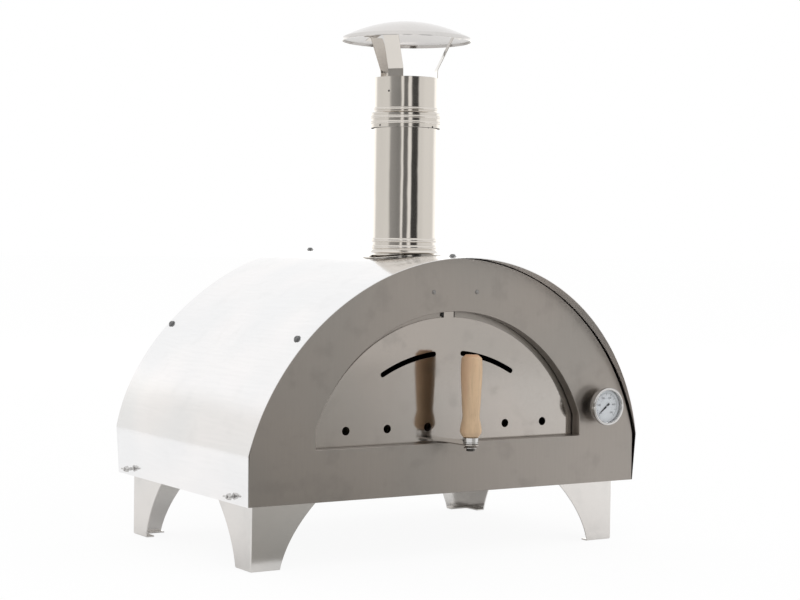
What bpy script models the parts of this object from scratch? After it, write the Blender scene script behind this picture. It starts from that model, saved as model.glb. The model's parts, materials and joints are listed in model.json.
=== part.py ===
"""A wood-fired pizza oven: a round steel vault on four sheet legs, with a lift-out door and a capped flue.

Lengths are in metres. The front faces -Y, the ground is at z = 0, and the origin is under the middle
of the whole oven. Heights named h are measured from the front panel's foot, and depths named y from
its front face, going back. The function at() turns them into world coordinates.
"""

import math

import bmesh
import bpy
from mathutils import Matrix, Vector

# Fits shared by all pieces
FIT = 0.0003
OVERRUN = 0.006
CURVE_STEPS = 40
ROUND_STEPS = 24
SMALL_STEPS = 12
HOLE_STEPS = 20
NUT_SIDES = 6
TONGUE_STEPS = 8
SLOT_STEPS = 12
SLOT_END_STEPS = 6
RIDGE_STEPS = 4
SMOOTH_ANGLE = math.radians(30)
FOLD_SMOOTH_ANGLE = math.radians(20)

# Front panel
PANEL_HALF_WIDTH = 0.350
PANEL_SIDE = 0.075
PANEL_APEX = 0.3577
PANEL_SHEET = 0.0012
PANEL_RIM_DEPTH = 0.0197
MOUTH_MARGIN = 0.109
SILL = 0.0772
MOUTH_SIDE = 0.0316
MOUTH_CROWN = 0.0813
MOUTH_WALL_DEPTH = 0.0177
RIVET_OFFSET = 0.0394
RIVET_OVER_MOUTH = 0.0296
RIVET_RADIUS = 0.002
RIVET_HEAD_RADIUS = 0.0035
RIVET_HEAD = 0.0012
RIVET_DOME_SHARES = ((0.0, 1.0), (0.5, 0.9), (1.0, 0.3), (1.0, 0.0))

# Outer vault: its section changes a little from the front to the rear
VAULT_SHEET = 0.0008
VAULT_OVERLAP = 0.0043
VAULT_DEPTH = 0.462
SKIRT_DRAW = 0.0028
SKIRT_TAPER = 0.0044
VISOR_RAKE_SHARE = 0.1012
REAR_RISE = 0.006
REAR_DRAW = 0.003
REAR_FLAT = 0.009
REAR_PANEL_INSET = 0.001
REAR_PANEL_DEPTH = 0.019

# Screws on the vault and studs on the skirts
SCREW_ANGLE = math.radians(48)
FRONT_SCREW_DEPTH = 0.0095
REAR_SCREW_FROM_BACK = 0.014
SCREW_RADIUS = 0.0019
SCREW_LENGTH = 0.007
SCREW_HEAD_RADIUS = 0.0045
SCREW_HEAD = 0.0032
SCREW_WASHER_RADIUS = 0.0058
SCREW_WASHER = 0.0009
STUD_HEIGHT = 0.0105
FRONT_STUD_INSET = 0.0213
REAR_STUD_INSET = 0.0279
STUD_RADIUS = 0.0025
STUD_SHOULDER_RADIUS = 0.005
STUD_HEAD_RADIUS = 0.005
STUD_HEAD = 0.0025
STUD_TIP = 0.0045
NUT_HUB_RADIUS = 0.0052
NUT_HUB_LENGTH = 0.0055
WING_REACH = 0.0105
WING_HEIGHT = 0.0075
WING_THICKNESS = 0.0022
NUT_HUB_TOP_SHARE = 0.8

# Legs
LEG_HEIGHT = 0.099
LEG_INSET = 0.0231
LEG_FRONT = 0.0283
LEG_REAR_INSET = 0.0251
LEG_SHEET = 0.002
LEG_FOOT_WIDTH = 0.048
LEG_TOP_WIDTH = 0.111
LEG_LEAN_SHARE = 0.356
LEG_TAB_WIDTH = 0.045
LEG_TAB_HEIGHT = 0.022
LEG_FOOT_FLANGE = 0.015
LEG_STEPS = 12

# Base and fire chamber
TRAY_SHEET = 0.0015
TRAY_FOOT = 0.001
TRAY_UNDER_SILL = 0.0192
BOARD_MARGIN = 0.007
TILE_THICKNESS = 0.018
TILE_JOINT = 0.0006
CHAMBER_MARGIN = 0.045
CHAMBER_SIDE = 0.090
CHAMBER_UNDER_PANEL = 0.0397
CHAMBER_SHEET = 0.0012
CHAMBER_REAR_SPACE = 0.0308
CHAMBER_FRONT_GAP = 0.0023
CHAMBER_FRONT_SHEET = 0.0015
BLANKET_THICKNESS = 0.025
REAR_WOOL_THICKNESS = 0.026
DOOR_REST = 0.015
NOTCH_HALF_WIDTH = 0.012
NOTCH_BELOW = 0.0045
NOTCH_ABOVE = 0.009

# Door
DOOR_SHEET = 0.0017
DOOR_GAP = 0.0095
VENT_RADIUS = 0.0065
VENT_MARGIN = 0.0605
VENT_SHARES = (0.2, 0.6, 1.0)
VENT_HEIGHT_ON_DOOR = 0.0231
SLOT_HALF_WIDTH = 0.004
SLOT_INNER_X = 0.0264
SLOT_INNER_DROP = 0.0655
SLOT_OUTER_MARGIN = 0.1236
SLOT_OUTER_DROP = 0.0944
TAB_HALF_WIDTH = 0.009
LUG_HALF_WIDTH = 0.007
LUG_HEIGHT = 0.004
LUG_REACH = 0.006
TONGUE_HALF_WIDTH = 0.013
TONGUE_ROOT_HALF_WIDTH = 0.030
TONGUE_FILLET = 0.054

# Door catch, behind the rivets
CATCH_HALF_WIDTH = 0.048
CATCH_HEIGHT = 0.018
CATCH_SHEET = 0.0015
HOOK_WIDTH = 0.004
HOOK_DROP = 0.008
HOOK_GAP = 0.0006

# Handle
HANDLE_OFFSET = 0.0455
HANDLE_RADIUS = 0.0163
HANDLE_LENGTH = 0.1232
FERRULE_RADIUS = 0.012
FERRULE_HEIGHT = 0.0105
FERRULE_BEVEL = 0.0015
WASHER_RADIUS = 0.0105
WASHER_HEIGHT = 0.004
HANDLE_BOLT_RADIUS = 0.003
HANDLE_BOLT_HEAD_RADIUS = 0.0065
HANDLE_BOLT_HEAD = 0.0043
HANDLE_BOLT_BITE = 0.040

# Thermometer
GAUGE_MARGIN = 0.0712
GAUGE_HEIGHT_SHARE = 0.345261
GAUGE_REACH = 0.028
BEZEL_RADIUS = 0.030
BEZEL_DEPTH = 0.0075
BEZEL_LIP = 0.0035
CASE_RADIUS = 0.0275
CASE_DEPTH = 0.013
CASE_WALL = 0.001
NECK_RADIUS = 0.009
DIAL_SET_BACK = 0.008
DIAL_THICKNESS = 0.0008
GLASS_THICKNESS = 0.0015
NEEDLE_LENGTH = 0.019
NEEDLE_TAIL = 0.006
NEEDLE_HALF_WIDTH = 0.0011
NEEDLE_THICKNESS = 0.0006
NEEDLE_HUB_RADIUS = 0.0028
NEEDLE_PIN_RADIUS = 0.0008
NEEDLE_REST = math.radians(-128)
STEM_RADIUS = 0.003
STEM_LENGTH = 0.060
GAUGE_NUT_RADIUS = 0.008
GAUGE_NUT_HEIGHT = 0.005

# Flue and cowl
FLUE_Y = 0.1479
PIPE_RADIUS = 0.05075
PIPE_SHEET = 0.0008
PIPE_OVER_PANEL = 0.2263
FLARE_RADIUS = 0.056
FLARE_HEIGHT = 0.006
FLARE_STEPS = 3
FLARE_LIFT = 0.0012
BEAD_HEIGHT = 0.0016
LOWER_BEAD = 0.009
BEAD_PITCH = 0.011
BEAD_HALF_LENGTH = 0.0032
SADDLE_RADIUS = 0.065
SADDLE_SHEET = 0.001
SPIGOT_RISE = 0.030
SPIGOT_SHEET = 0.001
SLEEVE_RISE = 0.055
SLEEVE_OVERLAP = 0.024
SKIRT_STEP = 0.0048
RIDGE_HEIGHT = 0.0012
RIDGE_HALF_LENGTH = 0.0022
RIDGE_PITCH = 0.0085
STRAP_HALF_WIDTH = 0.0125
STRAP_SHEET = 0.001
STRAP_BITE = 0.024
STRAP_STAND = 0.014
STRAP_TOP_RADIUS = 0.076
STRAP_TAB = 0.012
STRAP_ANGLES = (-142.4, -22.4, 97.6)
CAP_RADIUS = 0.102
CAP_CLEARANCE = 0.0613
CAP_RISE = 0.0277
CAP_SHEET = 0.0008
CAP_LIP = 0.0035
CAP_STEPS = 5
CAP_SIDES = 32

# Share tables: a wing's outline from the hub, and the handle's height and radius from its foot
WING_SHARES = ((0.357, 0.147), (0.8, 0.293), (1.0, 0.8), (0.85, 1.0), (0.357, 0.66))
HANDLE_PROFILE_SHARES = (
    (0.000, 0.74), (0.020, 0.86), (0.060, 1.00), (0.110, 0.97), (0.160, 0.91), (0.210, 0.82),
    (0.255, 0.79), (0.320, 0.82), (0.420, 0.87), (0.560, 0.92), (0.700, 0.98), (0.800, 1.00),
    (0.900, 0.98), (0.950, 0.95), (0.985, 0.80), (1.000, 0.58),
)

# Places worked out from the sizes above
REACH = HANDLE_OFFSET + HANDLE_RADIUS
PANEL_FACE = -(VAULT_DEPTH - REACH) / 2
MOUTH_HALF_WIDTH = PANEL_HALF_WIDTH - MOUTH_MARGIN
MOUTH_RISE = PANEL_APEX - MOUTH_CROWN - SILL
RIVET_HEIGHT = SILL + MOUTH_RISE + RIVET_OVER_MOUTH
VAULT_HALF_WIDTH = PANEL_HALF_WIDTH + VAULT_OVERLAP
REAR_PANEL_BACK = VAULT_DEPTH - SKIRT_TAPER - REAR_PANEL_INSET
LEG_CORNER = VAULT_HALF_WIDTH - LEG_INSET
LEG_REAR = VAULT_DEPTH - LEG_REAR_INSET
TRAY_RIM = SILL - TRAY_UNDER_SILL
FLOOR_BASE = TRAY_RIM + FIT
TRAY_HALF_WIDTH = LEG_CORNER - LEG_SHEET - FIT
TRAY_FRONT = LEG_FRONT + LEG_SHEET + FIT
TRAY_REAR = LEG_REAR - LEG_SHEET - FIT
STUD_ROWS = (LEG_FRONT + FRONT_STUD_INSET, LEG_REAR - REAR_STUD_INSET)
CHAMBER_HALF_WIDTH = PANEL_HALF_WIDTH - CHAMBER_MARGIN
CHAMBER_FRONT = MOUTH_WALL_DEPTH + CHAMBER_FRONT_GAP
CHAMBER_START = CHAMBER_FRONT + CHAMBER_FRONT_SHEET + FIT
CHAMBER_END = REAR_PANEL_BACK - CHAMBER_REAR_SPACE
DOOR_FACE = CHAMBER_FRONT - FIT - DOOR_SHEET
DOOR_FOOT = SILL + FIT
VENT_REACH = MOUTH_HALF_WIDTH - VENT_MARGIN
SLOT_INNER_END = (SLOT_INNER_X, MOUTH_RISE - SLOT_INNER_DROP)
SLOT_OUTER_END = (MOUTH_HALF_WIDTH - SLOT_OUTER_MARGIN, MOUTH_RISE - SLOT_OUTER_DROP)
GAUGE_X = PANEL_HALF_WIDTH - GAUGE_MARGIN
GAUGE_HEIGHT = PANEL_APEX * GAUGE_HEIGHT_SHARE
PIPE_TOP = PANEL_APEX + PIPE_OVER_PANEL
SLEEVE_TOP = PIPE_TOP + SLEEVE_RISE
SLEEVE_FOOT = PIPE_TOP - SLEEVE_OVERLAP
STRAP_BEND = SLEEVE_TOP + STRAP_STAND
CAP_RIM = SLEEVE_TOP + CAP_CLEARANCE


def at(x, y, h):
    """World place of a point x from the middle, y behind the panel's face and h above its foot."""
    return Vector((x, PANEL_FACE + y, LEG_HEIGHT + h))


class Arch:
    """An outline with a flat foot, two upright sides and one round arc over them."""

    def __init__(self, half_width, foot, centre, radius):
        self.half_width = half_width
        self.foot = foot
        self.centre = centre
        self.radius = radius

    @classmethod
    def through(cls, half_width, foot, spring, apex):
        rise = apex - spring
        radius = (half_width ** 2 + rise ** 2) / (2 * rise)
        return cls(half_width, foot, apex - radius, radius)

    def grown(self, by):
        return Arch(self.half_width + by, self.foot - by, self.centre, self.radius + by)

    def on_foot(self, foot):
        return Arch(self.half_width, foot, self.centre, self.radius)

    @property
    def apex(self):
        return self.centre + self.radius

    def arc(self, flat=0):
        """Points of the arc from left to right, with its shoulders drawn in by flat."""
        start = math.acos(self.half_width / self.radius)
        for step in range(CURVE_STEPS + 1):
            share = step / CURVE_STEPS
            angle = math.pi - start - share * (math.pi - 2 * start)
            radius = self.radius - flat * math.sin(2 * math.pi * share) ** 2
            yield radius * math.cos(angle), self.centre + radius * math.sin(angle)

    def outline(self):
        feet = (-self.half_width, self.foot), (self.half_width, self.foot)
        return [feet[0], *self.arc(), feet[1]]


PANEL_ARCH = Arch.through(PANEL_HALF_WIDTH, 0, PANEL_SIDE, PANEL_APEX)
MOUTH_ARCH = Arch.through(MOUTH_HALF_WIDTH, SILL, SILL + MOUTH_SIDE, SILL + MOUTH_RISE)
DOOR_ARCH = MOUTH_ARCH.grown(-DOOR_GAP).on_foot(DOOR_FOOT)
CHAMBER_ARCH = Arch.through(CHAMBER_HALF_WIDTH, FLOOR_BASE, CHAMBER_SIDE, PANEL_APEX - CHAMBER_UNDER_PANEL)
WOOL_ARCH = CHAMBER_ARCH.grown(FIT + BLANKET_THICKNESS).on_foot(FLOOR_BASE)
VAULT_APEX = PANEL_ARCH.apex + FIT + VAULT_SHEET


def material(name, colour, roughness, metallic):
    made = bpy.data.materials.new(name)
    made.use_nodes = True
    shader = made.node_tree.nodes["Principled BSDF"]
    shader.inputs["Base Color"].default_value = (*colour, 1)
    shader.inputs["Roughness"].default_value = roughness
    shader.inputs["Metallic"].default_value = metallic
    return made


def make_materials():
    return {
        "satin": material("satin_steel", (0.42, 0.40, 0.37), 0.32, 1),
        "mirror": material("polished_steel", (0.72, 0.71, 0.69), 0.08, 1),
        "chrome": material("chrome", (0.80, 0.80, 0.80), 0.05, 1),
        "dark": material("dark_steel", (0.06, 0.06, 0.06), 0.5, 1),
        "wood": material("turned_beech", (0.62, 0.42, 0.24), 0.55, 0),
        "wool": material("mineral_wool", (0.78, 0.76, 0.70), 0.95, 0),
        "stone": material("refractory", (0.72, 0.62, 0.50), 0.9, 0),
        "paper": material("dial_white", (0.85, 0.86, 0.86), 0.5, 0),
        "black": material("black_paint", (0.02, 0.02, 0.02), 0.4, 0),
        "glass": material("glass", (0.9, 0.93, 0.95), 0.03, 0),
    }


MATERIALS = {}


def add_object(name, bm, material_name, smooth_angle=SMOOTH_ANGLE):
    """Makes the mesh in bm an object of its own, with its faces outward."""
    bmesh.ops.recalc_face_normals(bm, faces=bm.faces)
    mesh = bpy.data.meshes.new(name)
    bm.to_mesh(mesh)
    bm.free()
    mesh.shade_smooth()
    mesh.set_sharp_from_angle(angle=smooth_angle)
    mesh.materials.append(MATERIALS[material_name])
    made = bpy.data.objects.new(name, mesh)
    bpy.context.collection.objects.link(made)
    return made


def loft(loops, closed):
    """A mesh through the loops in turn: a closed ring of them, or a stack with its ends filled."""
    bm = bmesh.new()
    rings = [[bm.verts.new(point) for point in loop] for loop in loops]
    pairs = list(zip(rings, rings[1:]))
    if closed:
        pairs.append((rings[-1], rings[0]))
    else:
        bm.faces.new(rings[0])
        bm.faces.new(rings[-1])
    for near, far in pairs:
        for index in range(len(near)):
            after = (index + 1) % len(near)
            bm.faces.new((near[index], near[after], far[after], far[index]))
    bmesh.ops.remove_doubles(bm, verts=bm.verts, dist=FIT / 100)
    return bm


def upright_loop(outline, y):
    return [at(x, y, h) for x, h in outline]


def slab(name, outline, front, back, material_name):
    """An outline, extruded from one depth to another."""
    return add_object(name, loft([upright_loop(outline, y) for y in (front, back)], False), material_name)


def box(name, low, high, material_name):
    """A box between two corners, each given as x, y and h."""
    outline = [(low[0], low[2]), (low[0], high[2]), (high[0], high[2]), (high[0], low[2])]
    return slab(name, outline, low[1], high[1], material_name)


def turned_mesh(profile, steps=ROUND_STEPS, closed=False):
    """A profile of (radius, height) spun about the Z axis; closed joins its two ends."""
    bm = bmesh.new()
    points = [bm.verts.new((radius, 0, height)) for radius, height in profile]
    edges = [bm.edges.new(pair) for pair in zip(points, points[1:])]
    if closed:
        edges.append(bm.edges.new((points[-1], points[0])))
    bmesh.ops.spin(
        bm, geom=points + edges, cent=(0, 0, 0), axis=(0, 0, 1),
        angle=2 * math.pi, steps=steps, use_merge=True,
    )
    bmesh.ops.remove_doubles(bm, verts=bm.verts, dist=FIT / 100)
    return bm


def turned(name, profile, place, material_name, steps=ROUND_STEPS, closed=False, axis=None):
    """A turned piece whose Z axis is stood along the axis given."""
    made = add_object(name, turned_mesh(profile, steps, closed), material_name)
    made.location = place
    if axis is not None:
        made.rotation_euler = Vector(axis).to_track_quat("Z", "Y").to_euler()
    return made


def cutter(name, meshes):
    """One hidden cutter from several separate meshes, each with the matrix that places it."""
    joined = bmesh.new()
    for bm, matrix in meshes:
        bmesh.ops.recalc_face_normals(bm, faces=bm.faces)
        bm.transform(matrix)
        part = bpy.data.meshes.new(name)
        bm.to_mesh(part)
        bm.free()
        joined.from_mesh(part)
        bpy.data.meshes.remove(part)
    mesh = bpy.data.meshes.new(name)
    joined.to_mesh(mesh)
    joined.free()
    made = bpy.data.objects.new(name, mesh)
    bpy.context.collection.objects.link(made)
    made.hide_render = True
    made.display_type = "WIRE"
    return made


def boolean(target, other, operation):
    modifier = target.modifiers.new(f"{operation.lower()} {other.name}", "BOOLEAN")
    modifier.operation = operation
    modifier.solver = "EXACT"
    modifier.object = other


def cut(target, other):
    boolean(target, other, "DIFFERENCE")


def united(first, *others):
    """One body from overlapping ones, whose own objects are then removed."""
    for other in others:
        boolean(first, other, "UNION")
    bpy.context.view_layer.update()
    evaluated = first.evaluated_get(bpy.context.evaluated_depsgraph_get())
    mesh = bpy.data.meshes.new_from_object(evaluated)
    first.modifiers.clear()
    first.data = mesh
    first.data.name = first.name
    for other in others:
        bpy.data.objects.remove(other)
    return first


def bore(radius, start, end, steps=SMALL_STEPS):
    """A cylinder for a cutter from start to end, both world places, with the matrix that places it."""
    start, end = Vector(start), Vector(end)
    length = (end - start).length
    bm = turned_mesh([(0, length), (radius, length), (radius, 0), (0, 0)], steps)
    turn = (end - start).to_track_quat("Z", "Y").to_matrix().to_4x4()
    return bm, Matrix.Translation(start) @ turn


# Outer vault

def vault_arch(depth_share):
    half_width = VAULT_HALF_WIDTH - depth_share * REAR_DRAW
    apex = VAULT_APEX + depth_share * REAR_RISE
    return Arch.through(half_width, 0, PANEL_SIDE, apex)


def vault_outline(depth_share, inset):
    """The vault's section: up the left skirt, over the arc and down the right skirt."""
    arch = vault_arch(depth_share).grown(-inset)
    foot = arch.half_width - SKIRT_DRAW
    arc = list(arch.arc(depth_share * REAR_FLAT))
    return [(-foot, 0), *arc, (foot, 0)]


def visor_front(h):
    """How far behind the panel's face the vault's front edge is at a height; ahead of it is negative."""
    if h < PANEL_SIDE:
        return -SKIRT_TAPER * h / PANEL_SIDE
    return -SKIRT_TAPER - VISOR_RAKE_SHARE * (h - PANEL_SIDE)


def vault_back(h):
    return VAULT_DEPTH - SKIRT_TAPER * max(0, 1 - h / PANEL_SIDE)


def share_of_depth(y, h):
    """How far back a place is between the vault's front edge at that height and its rear edge."""
    front = visor_front(h)
    return (y - front) / (VAULT_DEPTH - front)


def vault_height(x, y):
    """Height of the vault's outer face near its crest, from the section at that depth."""
    depth_share = share_of_depth(y, VAULT_APEX)
    arch = vault_arch(depth_share)
    span = math.pi - 2 * math.acos(arch.half_width / arch.radius)
    lean = math.asin(x / arch.radius)
    radius = arch.radius - depth_share * REAR_FLAT * math.sin(2 * math.pi * lean / span) ** 2
    return arch.centre + math.sqrt(radius ** 2 - x ** 2)


def vault_point(angle, y, inset=0):
    """A point of the vault at an angle from the crest, to the right, and a depth."""
    front_arch = vault_arch(0)
    depth_share = share_of_depth(y, front_arch.centre + front_arch.radius * math.cos(angle))
    arch = vault_arch(depth_share)
    span = math.pi - 2 * math.acos(arch.half_width / arch.radius)
    flat = depth_share * REAR_FLAT * math.sin(2 * math.pi * angle / span) ** 2
    radius = arch.radius - flat - inset
    return at(radius * math.sin(angle), y, arch.centre + radius * math.cos(angle))


def screw_places():
    """Each vault screw's place on the vault and the direction in which its head points."""
    for y in (FRONT_SCREW_DEPTH, VAULT_DEPTH - REAR_SCREW_FROM_BACK):
        for angle in (-SCREW_ANGLE, 0, SCREW_ANGLE):
            outward = Vector((math.sin(angle), 0, math.cos(angle)))
            yield vault_point(angle, y), outward


def make_screw_holes():
    bores = []
    for place, outward in screw_places():
        start = place - outward * (SCREW_LENGTH + OVERRUN)
        bores.append(bore(SCREW_RADIUS + FIT, start, place + outward * OVERRUN))
    return cutter("screw_holes", bores)


def make_stud_holes():
    reach = VAULT_HALF_WIDTH + OVERRUN
    rows = [bore(STUD_RADIUS + FIT, at(-reach, y, STUD_HEIGHT), at(reach, y, STUD_HEIGHT)) for y in STUD_ROWS]
    return cutter("stud_holes", rows)


def make_flue_hole():
    low = at(0, FLUE_Y, CHAMBER_ARCH.apex - BLANKET_THICKNESS)
    high = at(0, FLUE_Y, VAULT_APEX + REAR_RISE + OVERRUN)
    return cutter("flue_hole", [bore(PIPE_RADIUS - PIPE_SHEET, low, high, ROUND_STEPS)])


def make_outer_vault(flue_hole, screw_holes, stud_holes):
    outer = [vault_outline(share, 0) for share in (0, 1)]
    inner = [vault_outline(share, VAULT_SHEET) for share in (0, 1)]
    bm = bmesh.new()
    rows = []
    for outer_front, outer_rear, inner_rear, inner_front in zip(outer[0], outer[1], inner[1], inner[0]):
        front, back = visor_front(outer_front[1]), vault_back(outer_rear[1])
        places = ((outer_front, front), (outer_rear, back), (inner_rear, back), (inner_front, front))
        rows.append([bm.verts.new(at(x, y, h)) for (x, h), y in places])
    for near, far in zip(rows, rows[1:]):
        for index in range(len(near)):
            after = (index + 1) % len(near)
            bm.faces.new((near[index], near[after], far[after], far[index]))
    bm.faces.new(rows[0])
    bm.faces.new(rows[-1])
    vault = add_object("outer_vault", bm, "mirror")
    for hole in (flue_hole, screw_holes, stud_holes):
        cut(vault, hole)


def make_vault_screws():
    head = SCREW_WASHER + SCREW_HEAD
    lift = FIT + SCREW_WASHER
    profile = (
        (0, FIT + head), (SCREW_HEAD_RADIUS - SCREW_WASHER, FIT + head),
        (SCREW_HEAD_RADIUS, FIT + head - SCREW_WASHER), (SCREW_HEAD_RADIUS, lift),
        (SCREW_WASHER_RADIUS, lift), (SCREW_WASHER_RADIUS, FIT),
        (SCREW_RADIUS, FIT), (SCREW_RADIUS, -SCREW_LENGTH), (0, -SCREW_LENGTH),
    )
    for number, (place, outward) in enumerate(screw_places(), 1):
        turned(f"vault_screw_{number}", profile, place, "chrome", SMALL_STEPS, axis=outward)


# Front and rear panels

def make_front_panel(screw_holes):
    """A sheet with its rim and the wall of its mouth turned back."""
    rim = PANEL_ARCH.outline()
    rim_inner = PANEL_ARCH.grown(-PANEL_SHEET).outline()
    mouth = MOUTH_ARCH.outline()
    mouth_outer = MOUTH_ARCH.grown(PANEL_SHEET).outline()
    section = (
        (rim, 0), (rim, PANEL_RIM_DEPTH), (rim_inner, PANEL_RIM_DEPTH), (rim_inner, PANEL_SHEET),
        (mouth_outer, PANEL_SHEET), (mouth_outer, MOUTH_WALL_DEPTH), (mouth, MOUTH_WALL_DEPTH), (mouth, 0),
    )
    panel = add_object("front_panel", loft([upright_loop(*part) for part in section], True), "satin")
    cut(panel, screw_holes)
    back = CHAMBER_FRONT / 2
    holes = [bore(STEM_RADIUS + FIT, at(GAUGE_X, -OVERRUN, GAUGE_HEIGHT), at(GAUGE_X, back, GAUGE_HEIGHT))]
    for x in (-RIVET_OFFSET, RIVET_OFFSET):
        holes.append(bore(RIVET_RADIUS + FIT, at(x, -OVERRUN, RIVET_HEIGHT), at(x, back, RIVET_HEIGHT)))
    face_holes = cutter("panel_holes", holes)
    cut(panel, face_holes)
    return face_holes


def make_rear_panel(screw_holes):
    """A closed pan that fits inside the vault's rear edge."""
    inset = VAULT_SHEET + 2 * FIT
    front = REAR_PANEL_BACK - REAR_PANEL_DEPTH
    share = share_of_depth(front, VAULT_APEX)
    rim = vault_outline(share, inset)
    rim_inner = [(x, max(h, PANEL_SHEET)) for x, h in vault_outline(share, inset + PANEL_SHEET)]
    section = (
        (rim, REAR_PANEL_BACK), (rim, front), (rim_inner, front), (rim_inner, REAR_PANEL_BACK - PANEL_SHEET),
    )
    panel = add_object("rear_panel", loft([upright_loop(*part) for part in section], False), "satin")
    cut(panel, screw_holes)


def make_door_catch(face_holes):
    front = PANEL_SHEET + FIT
    back = front + CATCH_SHEET
    foot = RIVET_HEIGHT - CATCH_HEIGHT / 2
    hook_right = -TAB_HALF_WIDTH - HOOK_GAP
    hook_left = hook_right - HOOK_WIDTH
    hook_front = MOUTH_WALL_DEPTH + FIT
    hook_back = CHAMBER_FRONT - FIT
    hook_foot = MOUTH_ARCH.apex - HOOK_DROP
    strip = box(
        "door_catch", (-CATCH_HALF_WIDTH, front, foot), (CATCH_HALF_WIDTH, back, foot + CATCH_HEIGHT), "dark"
    )
    shelf = box("catch_shelf", (hook_left, front, foot), (hook_right, hook_back, foot + CATCH_SHEET), "dark")
    hook = box("catch_hook", (hook_left, hook_front, hook_foot), (hook_right, hook_back, foot + CATCH_SHEET), "dark")
    catch = united(strip, shelf, hook)
    cut(catch, face_holes)
    return back


def make_panel_rivets(catch_back):
    """Rivets through the panel and the catch, with a low head on each side."""
    rear = catch_back + FIT
    dome = [(share_r * RIVET_HEAD_RADIUS, FIT + share_h * RIVET_HEAD) for share_r, share_h in RIVET_DOME_SHARES]
    profile = (
        *dome, (RIVET_RADIUS, FIT), (RIVET_RADIUS, -rear), (RIVET_HEAD_RADIUS, -rear),
        (RIVET_HEAD_RADIUS, -rear - RIVET_HEAD), (0, -rear - RIVET_HEAD),
    )
    for name, x in (("panel_rivet_left", -RIVET_OFFSET), ("panel_rivet_right", RIVET_OFFSET)):
        turned(name, profile, at(x, 0, RIVET_HEIGHT), "satin", SMALL_STEPS, axis=(0, -1, 0))


# Legs, studs and wing nuts

def leg_width(share):
    """Width of each of a leg's two faces at a share of its height."""
    bend = LEG_LEAN_SHARE * share + (1 - LEG_LEAN_SHARE) * share ** 2
    return LEG_FOOT_WIDTH + (LEG_TOP_WIDTH - LEG_FOOT_WIDTH) * bend


def make_leg(name, side, corner_y, inward, stud_holes):
    """A folded corner leg: side is -1 or 1 in x, and inward is the way its other face runs in y."""
    first = LEG_SHEET / LEG_HEIGHT
    levels = [(0, LEG_FOOT_FLANGE, leg_width(0)), (LEG_SHEET, LEG_FOOT_FLANGE, leg_width(first))]
    for step in range(LEG_STEPS + 1):
        share = first + (1 - first) * step / LEG_STEPS
        levels.append((share * LEG_HEIGHT, LEG_SHEET, leg_width(share)))
    levels += [(h, LEG_SHEET, LEG_TAB_WIDTH) for h in (LEG_HEIGHT, LEG_HEIGHT + LEG_TAB_HEIGHT)]
    loops = []
    for z, thick, width in levels:
        tab = min(LEG_TAB_WIDTH, width)
        corners = (
            (0, 0), (tab, 0), (width, 0), (width, LEG_SHEET), (width, thick), (tab, thick),
            (thick, thick), (thick, tab), (thick, width), (LEG_SHEET, width), (0, width), (0, tab),
        )
        loops.append([
            at(side * (LEG_CORNER - u), corner_y + inward * v, z - LEG_HEIGHT) for u, v in corners
        ])
    leg = add_object(name, loft(loops, False), "satin", FOLD_SMOOTH_ANGLE)
    cut(leg, stud_holes)


def make_stud(name, side, y):
    """A stud from inside the tray out through the skirt, with a shoulder between leg and skirt."""
    inside = TRAY_HALF_WIDTH - TRAY_SHEET - FIT
    leg_face = LEG_CORNER + FIT
    skirt = VAULT_HALF_WIDTH - REAR_DRAW - SKIRT_DRAW
    skirt_inner = skirt - VAULT_SHEET - FIT
    tip = VAULT_HALF_WIDTH + NUT_HUB_LENGTH + STUD_TIP / 2
    profile = (
        (0, tip), (STUD_RADIUS, tip), (STUD_RADIUS, skirt_inner), (STUD_SHOULDER_RADIUS, skirt_inner),
        (STUD_SHOULDER_RADIUS, leg_face), (STUD_RADIUS, leg_face), (STUD_RADIUS, inside),
        (STUD_HEAD_RADIUS, inside), (STUD_HEAD_RADIUS, inside - STUD_HEAD), (0, inside - STUD_HEAD),
    )
    turned(name, profile, at(0, y, STUD_HEIGHT), "chrome", SMALL_STEPS, axis=(side, 0, 0))


def make_wing_nut(name, side, y):
    """A hub with two wings that spread outward, bored for its stud."""
    base = VAULT_HALF_WIDTH + FIT
    hub_profile = (
        (STUD_RADIUS + FIT, NUT_HUB_LENGTH), (NUT_HUB_RADIUS * NUT_HUB_TOP_SHARE, NUT_HUB_LENGTH),
        (NUT_HUB_RADIUS, 0), (STUD_RADIUS + FIT, 0),
    )
    hub = turned(name, hub_profile, (0, 0, 0), "chrome", SMALL_STEPS, True)
    wings = []
    for direction in (-1, 1):
        outline = [(share_u * WING_REACH, share_v * WING_HEIGHT) for share_u, share_v in WING_SHARES]
        loops = []
        for offset in (-WING_THICKNESS / 2, WING_THICKNESS / 2):
            loops.append([Vector((direction * u, offset, v)) for u, v in outline])
        wings.append(add_object(f"wing_{direction + 1}", loft(loops, False), "chrome"))
    nut = united(hub, *wings)
    nut.location = at(side * base, y, STUD_HEIGHT)
    nut.rotation_euler = Vector((side, 0, 0)).to_track_quat("Z", "Y").to_euler()


def make_legs(stud_holes):
    for side_name, side in (("left", -1), ("right", 1)):
        for row_name, corner, inward, stud in (
            ("front", LEG_FRONT, 1, STUD_ROWS[0]), ("rear", LEG_REAR, -1, STUD_ROWS[1])
        ):
            make_leg(f"leg_{row_name}_{side_name}", side, corner, inward, stud_holes)
            make_stud(f"leg_stud_{row_name}_{side_name}", side, stud)
            make_wing_nut(f"leg_wing_nut_{row_name}_{side_name}", side, stud)


# Base and fire chamber

def flat_loop(half_width, front, rear, h):
    return [at(-half_width, front, h), at(-half_width, rear, h), at(half_width, rear, h), at(half_width, front, h)]


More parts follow.
